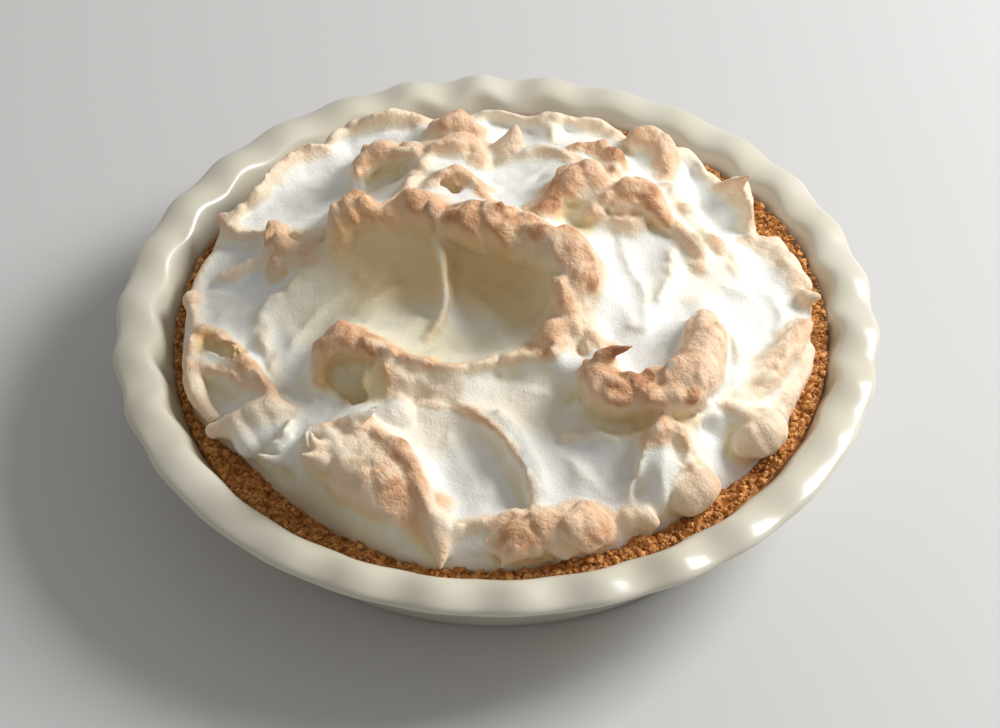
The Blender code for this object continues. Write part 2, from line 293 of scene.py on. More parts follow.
SHAPES = 5  # differently broken crumbs of each kind
CHIPPED, FLATTENED = (0.78, 1.2), (0.7, 1.2)
GRAINS_FROM, GRAINS_GAP = 97.0, 0.5  # grains lie from this radius out to this far off the wall
CROWDING = 1.1  # grains lie a little closer together towards the wall
CRUMB_SHADES = ((0.30, (0.24, 0.080, 0.014)), (0.5, (0.56, 0.235, 0.055)), (0.72, (0.86, 0.46, 0.15)))
grains = np.random.default_rng(11)


def round_the_pie(pairs, angles):
    """A value given by (degrees, value) pairs, eased between them."""
    known, values = zip(*pairs)
    nearby = np.radians((-6.0, -3.0, 0.0, 3.0, 6.0))
    return np.mean(
        [np.interp(np.degrees(angles + step), known, values, period=360.0) for step in nearby],
        axis=0,
    )


def rough(x, y, size, seed):
    """Smooth noise over the plan, about -1 to 1, with lumps about this size in millimetres."""
    lattice = np.random.default_rng(seed).uniform(-1, 1, (LATTICE, LATTICE))
    total = 0
    for lattice_turn in LATTICE_TURNS:
        turn = lattice_turn + seed
        u = ((x * math.cos(turn) + y * math.sin(turn)) / size) % LATTICE
        v = ((y * math.cos(turn) - x * math.sin(turn)) / size) % LATTICE
        i = np.floor(u).astype(int)
        j = np.floor(v).astype(int)
        s = (u - i) ** 2 * (3 - 2 * (u - i))
        t = (v - j) ** 2 * (3 - 2 * (v - j))
        k, m = (i + 1) % LATTICE, (j + 1) % LATTICE
        near = lattice[i % LATTICE, j % LATTICE] * (1 - s) + lattice[k, j % LATTICE] * s
        far = lattice[i % LATTICE, m] * (1 - s) + lattice[k, m] * s
        total = total + near * (1 - t) + far * t
    return EVENED * total


def wall_radius(height):
    """Inside of the dish's wall."""
    inner = rings[int(INNER_WALL * len(rings)):]
    return np.interp(height, inner[::-1, 1], inner[::-1, 0])


def crumb_rim(angles):
    """Height of the crumb rim, and the radius where it meets the wall."""
    rim = round_the_pie(CRUMB_RIM, angles)
    return rim, wall_radius(rim - BELOW_TOP)


def crumb_height(x, y):
    """Top of the crumb rim: highest by the wall, rough all over."""
    rim, wall = crumb_rim(np.arctan2(y, x))
    inward = np.clip((wall - np.hypot(x, y)) / CRUMB_WIDTH, 0, 1)
    bump = sum(depth * rough(x, y, size, seed) for depth, size, seed in CRUMB_BUMPS)
    return rim - CRUMB_SLOPE * inward**CRUMB_HOLLOW + bump


def put_together(name, points, faces):
    """An object from points in millimetres and faces."""
    mesh = bpy.data.meshes.new(name)
    mesh.from_pydata((points * MM).tolist(), [], faces.tolist())
    made = bpy.data.objects.new(name, mesh)
    bpy.context.collection.objects.link(made)
    return made


spin = np.linspace(0, 2 * math.pi, CRUMB_STEPS, endpoint=False)


def core_ring(reach, height):
    """One ring of the core's points."""
    height = np.broadcast_to(height, spin.shape)
    return np.stack([reach * np.cos(spin), reach * np.sin(spin), height], axis=1)


outer = crumb_rim(spin)[1] - RIM_GAP
shell = []
for share in np.linspace(0, 1, CRUMB_ROWS):
    reach = INSIDE + share * (outer - INSIDE)
    top = crumb_height(reach * np.cos(spin), reach * np.sin(spin))
    top = top - TURNED_DOWN * np.clip((share - TURN_FROM) / TURN_WIDTH, 0, 1)
    shell.append(core_ring(reach, top))
shell.append(core_ring(wall_radius(np.full(CRUMB_STEPS, BURIED)) - WALL_GAP, BURIED))
shell.append(core_ring(INSIDE, BURIED))
rows = len(shell)
number = np.arange(rows * CRUMB_STEPS).reshape(rows, CRUMB_STEPS)
around = []
for row in range(rows):
    here, there = number[row], number[(row + 1) % rows]
    around.append(np.stack([here, there, np.roll(there, -1), np.roll(here, -1)], axis=1))
core = put_together("crumb_core", np.concatenate(shell), np.concatenate(around))
bpy.context.view_layer.objects.active = core
core.select_set(True)
bpy.ops.object.mode_set(mode="EDIT")
bpy.ops.mesh.select_all(action="SELECT")
bpy.ops.mesh.normals_make_consistent(inside=False)
bpy.ops.object.mode_set(mode="OBJECT")
bpy.ops.object.shade_smooth()
bpy.ops.object.select_all(action="DESELECT")


def crumb_shapes(roundness):
    """A few differently broken crumbs, each a small closed body about one unit across."""
    shapes = []
    for _ in range(SHAPES):
        bpy.ops.mesh.primitive_ico_sphere_add(subdivisions=roundness, radius=0.5)
        one = bpy.context.object
        flat = np.empty(len(one.data.vertices) * 3, np.float32)
        one.data.vertices.foreach_get("co", flat)
        crumb = flat.reshape(-1, 3).astype(float)
        crumb *= grains.uniform(*CHIPPED, (len(crumb), 1))
        crumb *= grains.uniform(*FLATTENED, 3)
        sides = np.array([list(face.vertices) for face in one.data.polygons])
        shapes.append((crumb, sides))
        bpy.data.objects.remove(one, do_unlink=True)
    return shapes


def scatter(name, roundness, count, smallest, largest, sunk):
    """Crumbs lying on the core between the meringue and the wall, as one piece of true size."""
    shapes = crumb_shapes(roundness)
    angles = grains.uniform(0, 2 * math.pi, count)
    wall = crumb_rim(angles)[1] - GRAINS_GAP
    reach = wall - grains.uniform(0, 1, count) ** CROWDING * (wall - GRAINS_FROM)
    sizes = smallest + (largest - smallest) * grains.uniform(0, 1, count) ** 2
    reach = np.minimum(reach, wall - sizes * 0.5)
    x, y = reach * np.cos(angles), reach * np.sin(angles)
    z = crumb_height(x, y) + sizes * (0.5 - sunk)
    vertices, sides, start = [], [], 0
    for i in range(count):
        crumb, crumb_sides = shapes[i % SHAPES]
        tumbled = grains.normal(size=4)
        w, a, b, c = tumbled / np.linalg.norm(tumbled)
        turned = np.array([
            [1 - 2 * (b * b + c * c), 2 * (a * b - c * w), 2 * (a * c + b * w)],
            [2 * (a * b + c * w), 1 - 2 * (a * a + c * c), 2 * (b * c - a * w)],
            [2 * (a * c - b * w), 2 * (b * c + a * w), 1 - 2 * (a * a + b * b)],
        ])
        vertices.append(crumb @ turned.T * sizes[i] + (x[i], y[i], z[i]))
        sides.append(crumb_sides + start)
        start += len(crumb)
    return put_together(name, np.concatenate(vertices), np.concatenate(sides))


coarse = scatter("coarse_crumbs", roundness=2, count=2300, smallest=1.3, largest=3.4, sunk=0.3)
fine = scatter("fine_crumbs", roundness=1, count=9600, smallest=0.7, largest=1.5, sunk=0.1)

baked = bpy.data.materials.new("baked_crumb")
baked.use_nodes = True
tree = baked.node_tree
crust_shader = tree.nodes["Principled BSDF"]
crust_shader.inputs["Roughness"].default_value = 0.62
toasted = shades(tree, noise(tree, scale=420, detail=3), CRUMB_SHADES)
tree.links.new(toasted, crust_shader.inputs["Base Color"])
grit = relief(tree, noise(tree, scale=1500, detail=2), strength=0.5, distance=0.0005)
tree.links.new(grit.outputs["Normal"], crust_shader.inputs["Normal"])
for piece in (core, coarse, fine):
    piece.data.materials.append(baked)
    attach(piece, "root")
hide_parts("crumb_crust")


# The meringue is beaten egg white and sugar, heaped on the hot filling and baked until its crests
# brown. Each pull of the spoon leaves a smooth hollow and draws up a crest that leans forward. The
# foam between them hangs as a skin would, and knobs and drawn-out points stand on it.

# The heap's outline in plan: its radius by angle in degrees, in millimetres.
OUTLINE = (
    (-172, 112), (-162, 112), (-154, 108), (-146, 102), (-137, 103), (-126, 105), (-112, 109),
    (-100, 111), (-88, 111), (-72, 110), (-60, 108), (-52, 109), (-44, 107), (-34, 111), (-20, 111),
    (-4, 113), (6, 112), (18, 107), (28, 106), (40, 104), (54, 104), (68, 107), (86, 108),
    (104, 107), (118, 108), (132, 109), (146, 109), (160, 109), (174, 111),
)  # fmt: skip
# Crests that the spoon pulled up: browning, and the line with its radius (x, y, height, radius).
CRESTS = (
    # the tall ridge across the middle
    (0.75, ((-57, 10, 71, 3), (-55, 12, 75, 5), (-54, 16, 80, 7), (-51, 18, 83, 7.5),
        (-46, 17, 82, 5.5), (-39, 15, 81, 3.2), (-33, 16, 83, 4.5), (-27, 18, 86, 7), (-23, 13, 84, 6),
        (-21, 10, 79, 3.5))),
    (0.62, ((-16, 9, 84, 4), (-12, 9, 87, 7), (-5, 8, 88, 8), (2, 5, 88, 8), (9, 1, 88, 7.5),
        (16, -3, 88, 7.5), (22, -7, 88, 8.5), (26, -12, 87, 9), (24, -19, 84, 8.5), (24, -24, 79, 6.5),
        (26, -27, 73, 4.5), (28, -32, 68, 2.6), (29, -35, 63, 1.4))),
    (0.55, ((19, -20, 75, 3), (18, -26, 72, 3.5), (20, -33, 70, 3.8), (18, -38, 68, 3))),
    (0.14, ((-21, 9, 80, 2.4), (-20, 2, 77, 1.6), (-19, -5, 73, 1), (-18, -13, 69, 0.9),
        (-18, -18, 66.5, 0.9), (-20, -24, 64.5, 0.8), (-24, -29, 62.5, 0.6))),
    # the lip in front of the two great hollows
    (0.7, ((-60, -43, 58, 2), (-60, -39, 63, 3), (-57, -37, 69, 5), (-51, -33, 71, 6),
        (-45, -36, 70, 3.5), (-41, -38, 69, 2))),
    (0.55, ((-41, -38, 69, 2), (-32, -41, 68, 1.2), (-23, -45, 67, 1), (-13, -46, 66, 1))),
    (0.3, ((-13, -46, 66, 1), (-3, -44, 66, 1.2), (7, -41, 67, 1.6), (18, -39, 68, 2.4))),
    (0.45, ((-36, -46, 66, 2), (-35, -52, 63, 2), (-33, -54, 61, 1.6), (-24, -55, 60, 1.6),
        (-15, -56, 59, 1.4))),
    # the broad browned swell at the front left
    (0.7, ((-62, -75, 62, 1.9), (-58, -71, 64, 1.9), (-51, -69, 65, 1.9), (-43, -67, 66, 1.6))),
    (0.62, ((-48, -72, 65, 3), (-40, -75, 65, 2.4), (-34, -81, 65, 3), (-29, -85, 63, 3),
        (-27, -91, 59, 3), (-24, -97, 54, 3.4), (-19, -101, 50, 3.5))),
    (0.6, ((-62, -75, 61, 2.2), (-61, -82, 60, 2.5), (-59, -87, 58, 3))),
    (0.15, ((-80, -70, 48, 1), (-75, -77, 49, 1.4), (-67, -82, 52, 1.9), (-62, -81, 57, 1.9))),
    (0.1, ((-80, -70, 48, 1), (-75, -66, 50, 1.4), (-71, -62, 51, 1.4), (-69, -57, 53, 1.4))),
    (0.5, ((-18, -101, 50, 3), (-16, -104, 48, 2.9), (-12, -102, 49, 2.4), (-3, -101, 50, 1.9),
        (3, -101, 51, 2.4))),
    # the cup at the far left
    (0.5, ((-104, -11, 49, 2.4), (-108, -18, 48, 2.4), (-109, -25, 47, 2.4), (-106, -36, 46, 2.4),
        (-102, -46, 45, 1.9), (-98, -52, 44, 1.9))),
    (0.6, ((-104, -11, 49, 2.4), (-99, -14, 51, 2.4), (-92, -23, 53, 2.2), (-84, -34, 55, 2),
        (-77, -46, 56, 2.4), (-76, -49, 55, 2.4))),
    (0.5, ((-76, -49, 55, 2.4), (-81, -53, 53, 2.4), (-88, -54, 50, 2.4), (-93, -56, 47, 2.2),
        (-97, -55, 45, 1.6))),
    (0.5, ((-106, -28, 48, 1.4), (-100, -30, 49.5, 1.9), (-93, -33, 51, 1.9), (-88, -38, 53, 2.4),
        (-82, -43, 54, 1.9))),
    (0.1, ((-75, -49, 54, 2.4), (-70, -54, 50, 1.9), (-73, -58, 47, 1.9), (-79, -62, 43, 2.4),
        (-86, -62, 42, 2.4))),
    (0.2, ((-82, -17, 54, 1.4), (-77, -31, 52, 1.4), (-73, -43, 50, 1.4), (-70, -52, 50, 1.4))),
    # the roll over the front edge
    (0.7, ((4, -102, 50, 2.9), (10, -103, 52, 3), (18, -102, 52, 3.5), (27, -101, 52, 4),
        (33, -101, 49, 3.5))),
    (0.45, ((-13, -58, 59.5, 1.2), (-7, -64, 61.5, 1.2), (-2, -69, 62, 1))),
    (0.3, ((-2, -69, 62, 1), (3, -76, 61, 0.8), (8, -83, 58, 0.8), (12, -90, 54, 0.8), (13, -97, 51, 1))),
    # the folds at the front right
    (0.12, ((49, -78, 64, 1), (48, -83, 61, 0.8), (46, -88, 57, 0.8), (44, -91, 53, 0.8))),
    (0.5, ((49, -78, 64, 1.2), (53, -75, 66, 2.5), (56, -72, 67, 3.5), (60, -74, 66, 3),
        (62, -76, 62, 2))),
    (0.2, ((62, -76, 62, 2), (65, -79, 57, 2.5), (68, -81, 52, 2))),
    (0.4, ((43, -96, 48, 1.9), (48, -95, 48, 1.9), (51, -98, 46, 2.4), (46, -100, 44, 1.9))),
    (0.45, ((71, -56, 57, 1.6), (78, -55, 58, 2.2), (85, -57, 56, 1.9), (89, -59, 54, 2.4))),
    (0.2, ((22, -73, 60, 1.4), (31, -70, 60, 1.4), (41, -71, 60, 1.4), (50, -75, 62, 1.4))),
    # the hook and its roll
    (0.62, ((38, -50, 77, 1.6), (35, -52, 76, 3), (32, -56, 75, 4.4), (33, -60, 74, 5.4),
        (38, -63, 74, 6), (43, -65, 74, 6), (51, -65, 74, 6.6))),
    (0.48, ((51, -65, 74, 6.8), (59, -63, 75, 8), (65, -57, 76, 8), (69, -47, 76, 7), (71, -37, 75, 5),
        (71, -26, 72, 3))),
    (0.6, ((30, -35, 66, 1.4), (33, -32, 69, 1.2), (36, -35, 66, 1.2), (39, -35, 63, 1.2))),
    (0.08, ((35, -63, 62, 2.5), (42, -66, 61, 3), (51, -67, 61, 3), (65, -65, 61, 3),
        (74, -56, 60, 2.5))),
    (0.15, ((75, -26, 70, 1.9), (80, -29, 66, 1.4), (82, -33, 62, 1.4), (79, -38, 58, 1.4))),
    # the high ridge at the upper right
    (0.7, ((13, 20, 76, 2.4), (18, 23, 79, 3.5), (23, 28, 82, 4.5), (30, 33, 84, 4.5), (35, 34, 82, 4),
        (37, 32, 79, 2.9))),
    (0.65, ((34, 21, 75, 2.9), (37, 25, 79, 3.5), (44, 28, 81, 4), (50, 28, 81, 4), (55, 25, 79, 4),
        (59, 21, 75, 2.9))),
    (0.45, ((37, 21, 74.5, 2.4), (44, 19, 74.5, 2.9), (51, 20, 74.5, 2.9))),
    (0.38, ((59, 21, 75, 2.9), (65, 17, 71, 3), (70, 12, 68, 3), (71, 7, 64, 1.6))),
    (0.4, ((-4, 57, 66, 1.4), (4, 59, 68, 1.6), (15, 62, 70, 2.4), (24, 60, 70, 2.4), (32, 52, 71, 1.9))),
    (0.55, ((28, 63, 69, 1.9), (34, 65, 69, 2.4), (40, 59, 70, 3), (43, 56, 69, 3), (41, 45, 70, 2.4))),
    (0.5, ((49, 78, 60, 1.9), (53, 73, 67, 3.5), (59, 70, 69, 4), (61, 64, 67, 3.5), (62, 56, 64, 2.4))),
    (0.2, ((63, 67, 66, 2.4), (72, 68, 62, 2.4), (77, 63, 59, 1.9), (83, 58, 57, 1.9))),
    (0.55, ((83, 56, 59, 1.9), (88, 54, 62, 2.6), (91, 50, 60, 1.9), (92, 44, 56, 1.6),
        (91, 40, 51, 1.4))),
    (0.18, ((62, 44, 68, 2.4), (67, 33, 67, 2.4), (72, 26, 65, 2.4), (77, 19, 62, 2.9),
        (82, 16, 60, 2.9), (84, 12, 57, 1.9))),
    (0.08, ((62, 9, 68, 1.4), (59, -4, 66, 1.2), (52, -13, 65, 1.2))),
    # the right side
    (0.45, ((91, 35, 50, 1.9), (97, 31, 51, 2.4), (102, 24, 51, 2.4), (107, 16, 50, 2.4),
        (110, 9, 49, 2.4), (113, 3, 49, 1.9))),
    (0.5, ((111, -7, 49, 1.9), (106, -16, 51, 2.4), (100, -25, 53, 2.9), (95, -35, 54, 2.9),
        (89, -43, 54, 2.4), (80, -50, 55, 1.9))),
    (0.35, ((109, -18, 46, 2.4), (106, -29, 45, 2.4), (100, -41, 45, 2.4), (96, -47, 46, 2.4))),
    # the upper left
    (0.7, ((-50, 53, 67, 1.9), (-49, 57, 69, 3), (-44, 60, 71, 3.5), (-37, 60, 71, 3),
        (-27, 59, 71, 2.4))),
    (0.65, ((-26, 59, 71, 2.4), (-23, 61, 72, 3), (-16, 62, 72, 3.5), (-9, 63, 71, 3),
        (-5, 57, 69, 2.4))),
    (0.6, ((-24, 71, 66, 2.4), (-21, 75, 69, 3), (-15, 75, 71, 3.5), (-10, 75, 70, 3),
        (-6, 67, 69, 2.4))),
    (0.45, ((-26, 58, 71, 1.9), (-28, 47, 73, 2.4), (-32, 35, 76, 2.4), (-37, 22, 79, 1.9))),
    (0.6, ((-23, 34, 77, 1.9), (-18, 38, 79, 2.4), (-12, 38, 78, 2.4), (-7, 35, 77, 1.9),
        (-4, 29, 76, 1.4))),
    (0.3, ((-102, 44, 51, 2.2), (-96, 45, 54, 1.9), (-89, 52, 57, 2.4), (-83, 63, 58, 2.4),
        (-78, 71, 58, 2.4), (-71, 76, 58, 2.2), (-64, 78, 57, 1.6))),
    (0.35, ((-63, 82, 57, 1.6), (-57, 89, 58, 2.4), (-50, 91, 60, 2.4), (-43, 91, 63, 2.6),
        (-34, 93, 60, 2.4), (-24, 94, 57, 1.6))),
    (0.45, ((-100, 40, 52, 1.9), (-93, 35, 54, 1.9), (-84, 31, 57, 1.9), (-78, 29, 60, 2.4),
        (-69, 26, 62, 1.9), (-60, 21, 65, 1.6))),
    (0.65, ((-81, 28, 59, 2.4), (-79, 21, 59, 2.9), (-76, 15, 58, 3), (-74, 10, 55, 1.9))),
    (0.65, ((-63, 11, 66, 1.9), (-68, 12, 63, 2.9), (-72, 12, 60, 3), (-75, 14, 58, 2.9))),
    (0.35, ((-80, 19, 58, 1.9), (-88, 18, 55, 1.4), (-94, 16, 52, 1.2), (-98, 16, 50, 1))),
    (0.3, ((-102, 44, 51, 1.9), (-105, 35, 49, 2.2), (-108, 23, 48, 2.2), (-110, 12, 47, 2.4),
        (-109, 3, 47, 2.4), (-107, -6, 48, 1.9))),
    (0.12, ((-58, 10, 69, 1.6), (-65, 7, 64, 1.2), (-74, 0, 58, 1.2), (-81, -4, 55, 1.2),
        (-83, -14, 53, 1.2))),
    # the back
    (0.25, ((-10, 90, 61, 1.4), (-2, 92, 62, 1.6), (10, 90, 61, 1.6), (20, 89, 65, 2.2),
        (32, 89, 61, 1.6), (42, 87, 58, 1.6), (48, 82, 57, 1.9))),
    (0.15, ((20, 89, 64, 1.6), (21, 83, 62, 1.2), (22, 76, 60, 1.2))),
)  # fmt: skip
# Lowest lines of the hollows between them: (x, y, height, half width).
HOLLOWS = (
    ((-6, -6, 62, 7), (1, -12, 61, 9), (9, -19, 62, 8), (3, -26, 63, 7)),
    ((-34, 0, 63, 8), (-43, -5, 61, 10), (-53, -6, 58, 9), (-62, -15, 55, 9), (-68, -27, 52, 8),
        (-70, -38, 49, 6), (-65, -47, 48, 5)),
    ((-25, -19, 62.5, 3), (-33, -23, 62.5, 4), (-42, -19, 62, 4)),
    ((-53, -40, 56.5, 4), (-48, -44, 55.5, 5), (-45, -48, 54.5, 4)),
    ((-60, -46, 50, 3), (-66, -57, 49, 3), (-71, -66, 47, 4)),
    ((-102, -14, 44, 2), (-96, -18, 45, 2.5), (-90, -23, 47, 2)),
    ((-100, -33, 41.5, 4), (-94, -39, 42, 5), (-88, -40, 45, 4)),
    ((-15, -66, 55.5, 5), (-9, -76, 51.5, 6), (-5, -86, 48.5, 5)),
    ((17, -63, 58.5, 4), (23, -74, 56, 8), (31, -82, 53, 9), (36, -88, 50, 6)),
    ((-58, -88, 58, 3), (-52, -94, 56.5, 3), (-43, -98, 54.5, 3), (-33, -101, 52, 3)),
    ((1, -45, 58.5, 4), (15, -49, 58.5, 4), (28, -56, 57.5, 3)),
    ((55, -79, 62, 2), (54, -85, 58.5, 3), (54, -89, 54.5, 4), (55, -92, 50, 3)),
    ((1, -64, 62, 3), (7, -72, 60.5, 3), (12, -81, 58, 3), (15, -89, 54, 3)),
    ((-34, -44, 66, 2), (-26, -48, 64.5, 3), (-18, -51, 62.5, 3)),
    ((69, -63, 52.5, 3), (74, -65, 48.5, 5), (77, -68, 44.5, 4)),
    ((43, -46, 64.5, 3), (50, -46, 64.5, 4), (58, -41, 65.5, 4), (62, -30, 65.5, 4)),
    ((41, 13, 69, 5), (43, 1, 67, 8), (47, -13, 65, 8), (49, -25, 66, 6)),
    ((25, 23, 68.5, 2), (30, 20, 68.5, 3)),
    ((4, 42, 68, 5), (12, 44, 68, 6), (19, 51, 68, 4)),
    ((-93, 46, 51, 4), (-83, 50, 51, 7), (-71, 55, 52, 8), (-57, 54, 54, 7), (-44, 54, 57, 5),
        (-37, 56, 60, 3)),
    ((-56, 85, 52.5, 3), (-45, 89, 53.5, 4), (-33, 89, 54.5, 4)),
    ((-103, 32, 45.5, 3), (-96, 31, 47.5, 4), (-88, 30, 50.5, 3)),
    ((-103, 12, 45.5, 5), (-93, 10, 47.5, 6), (-84, 13, 51.5, 4)),
    ((-97, -4, 47.5, 4), (-89, -3, 49.5, 4)),
    ((-74, 27, 56.5, 1.5), (-68, 24, 58.5, 2), (-62, 21, 61.5, 1.5)),
    ((-1, 90, 56.5, 3), (12, 86, 56.5, 4)),
    ((28, 87, 56.5, 3), (39, 83, 55.5, 3)),
    ((49, 71, 60.5, 2), (50, 60, 62.5, 2)),
    ((71, 63, 55.5, 4), (76, 50, 52.5, 5), (82, 42, 49.5, 4), (90, 39, 47.5, 2)),
    ((81, 6, 55.5, 5), (91, 6, 50.5, 8), (97, -3, 47.5, 8), (94, -16, 47.5, 5), (87, -28, 49.5, 4)),
    ((39, 23, 77, 3), (46, 22, 78, 3), (53, 22, 77, 3)),
    ((71, -8, 60.5, 3), (67, -21, 62.5, 2)),
    ((-7, -68, 57, 1.6), (-1, -73, 55, 1.6), (4, -79, 51.5, 1.6), (8, -86, 47.5, 1.6),
        (11, -92, 46, 1.6)),
    ((-31, -73, 60, 1.6), (-25, -80, 58, 1.6), (-22, -88, 54, 1.6), (-18, -94, 49.5, 1.6)),
    ((-89, -18, 50, 1.6), (-81, -26, 50, 1.6), (-74, -39, 50, 1.6)),
    ((23, 26, 73, 1.6), (29, 30, 75, 1.6)),
    ((37, 21, 69.5, 1.6), (44, 20, 69, 1.6), (54, 21, 68.5, 1.6), (61, 18, 66.5, 1.6)),
    ((-47, 57, 61, 1.6), (-41, 61, 61, 1.6), (-33, 61, 62, 1.6)),
    ((46, -75, 58, 1.6), (45, -82, 54, 1.6), (46, -90, 48, 1.6)),
    ((-25, 3, 68, 1.6), (-23, -7, 63.5, 1.6), (-24, -18, 61.5, 1.6)),
    ((-15, 1, 67, 1.6), (-14, -8, 63, 1.6), (-15, -18, 61.5, 1.6)),
    ((-6, -1, 63.5, 3), (3, -5, 63, 3), (11, -11, 63, 3)),
    ((-48, 2, 63, 3), (-38, 3, 64, 3), (-29, 1, 64, 3)),
    ((26, -56, 64, 1.6), (29, -61, 61, 1.6), (36, -64, 58.5, 1.6), (47, -68, 57.5, 1.6)),
    ((24, -19, 73, 1.5), (24, -22, 70, 2), (25, -25, 67, 1.5)),
)  # fmt: skip
# Where the foam swells instead: how much, and the line (x, y, height, half width).
SWELLS = (
    (0.12, ((-56, -77, 57, 15), (-48, -86, 52, 19), (-34, -93, 48, 15))),
    (0.1, ((-35, -45, 64, 7), (-26, -49, 63, 7), (-16, -51, 62, 6))),
    (0.16, ((5, -106, 46, 8), (21, -104, 47, 9), (33, -102, 46, 7))),
    (0.12, ((89, -63, 48, 8), (84, -61, 50, 8))),
    (0.1, ((-86, -58, 44, 8), (-80, -57, 45, 9))),
)  # fmt: skip
# Knobs: how softly they join, browning, and the middle with its radius.
KNOBS = (
    (3, 0.85, ((15, -4, 86.5, 4),)), (2.5, 0.75, ((32, -17, 77.5, 3),)),
    (3, 0.7, ((-32, -80, 62, 3.5),)), (3, 0.8, ((-20, -94, 46, 4.5),)),
    (2, 0.85, ((65, -64, 69.9, 2.6),)), (3, 0.7, ((54, 29, 76.5, 4),)), (3, 0.65, ((43, 59, 68, 3.5),)),
    (3, 0.6, ((39, 65, 68, 2.5),)), (3, 0.4, ((68, 32, 66, 2.5),)), (3, 0.45, ((78, 20, 60.5, 3),)),
    (3, 0.5, ((70, 14, 66.5, 3),)), (3, 0.5, ((-109, 7, 45.5, 3),)), (3, 0.45, ((-100, 45, 50, 2.5),)),
    (2, 0.7, ((-19, 75, 69.9, 2.6),)),
)  # fmt: skip
# Points drawn out as the spoon let go: softness, browning, and the line with its radius.
DRAWN_POINTS = (
    # the beak
    (4, 0.55, ((-20, -102, 49, 3.5), (-19, -106, 46, 3.4), (-18, -110, 43, 2.2), (-18, -114, 41, 0.7))),
    # spikes on the swell
    (1.5, 0.5, ((-57, -80, 61, 3), (-60, -80, 64.5, 1.8), (-61, -79, 69, 0.6))),
    (1.5, 0.5, ((-57, -84, 60, 3), (-60, -84, 62, 1.8), (-64, -85, 64, 0.6))),
    (1.5, 0.15, ((-47, -70, 65, 2.4), (-43, -70, 67, 1.6), (-40, -69, 69, 0.6))),
    # the slab and the cup
    (4, 0.1, ((-70, -72, 47, 2), (-75, -72, 47.5, 1.6), (-80, -71, 49, 0.6))),
    # the tall ridge
    (3, 0.8, ((-1, 8, 86, 3.5), (1, 8, 88.5, 1.8), (2, 9, 91, 0.6))),
    (3, 0.8, ((-4, 2, 80, 4.5), (-5, 2, 77, 2.6), (-6, 3, 73, 0.8))),
    # the front roll
    (3, 0.6, ((6, -110, 46, 4), (4, -112, 44, 2.2), (2, -114, 42, 0.7))),
    (2, 0.1, ((1, -109, 45, 2.5), (-3, -108, 45, 1.5), (-7, -109, 43, 0.7))),
    # the right side
    (2, 0.65, ((92, -62, 51, 4), (95, -60, 51, 2), (97, -59, 51, 0.7))),
    (2, 0.65, ((88, 52, 61, 2), (90, 51, 64, 1.4), (92, 50, 67, 0.6))),
    (2, 0.45, ((110, 5, 49, 2.5), (113, 4, 50, 1.8), (115, 3, 51, 0.7))),
    # the rib between the great hollows
    (3, 0.1, ((-21, 5, 77.5, 1.8), (-19, -4, 74.5, 1.2), (-18, -12, 70.5, 1), (-18, -18, 67, 0.8),
        (-20, -24, 64.5, 0.7), (-24, -29, 62.5, 0.5))),
    # the hook
    (1.5, 1, ((35, -51, 75, 2.8), (39, -50, 77, 2), (42, -51, 79, 1.3), (45, -51, 80, 0.6))),
    # the cone
    (4, 0.5, ((3, 64, 66, 5), (6, 66, 69, 4), (7, 69, 73, 1.5))),
)  # fmt: skip
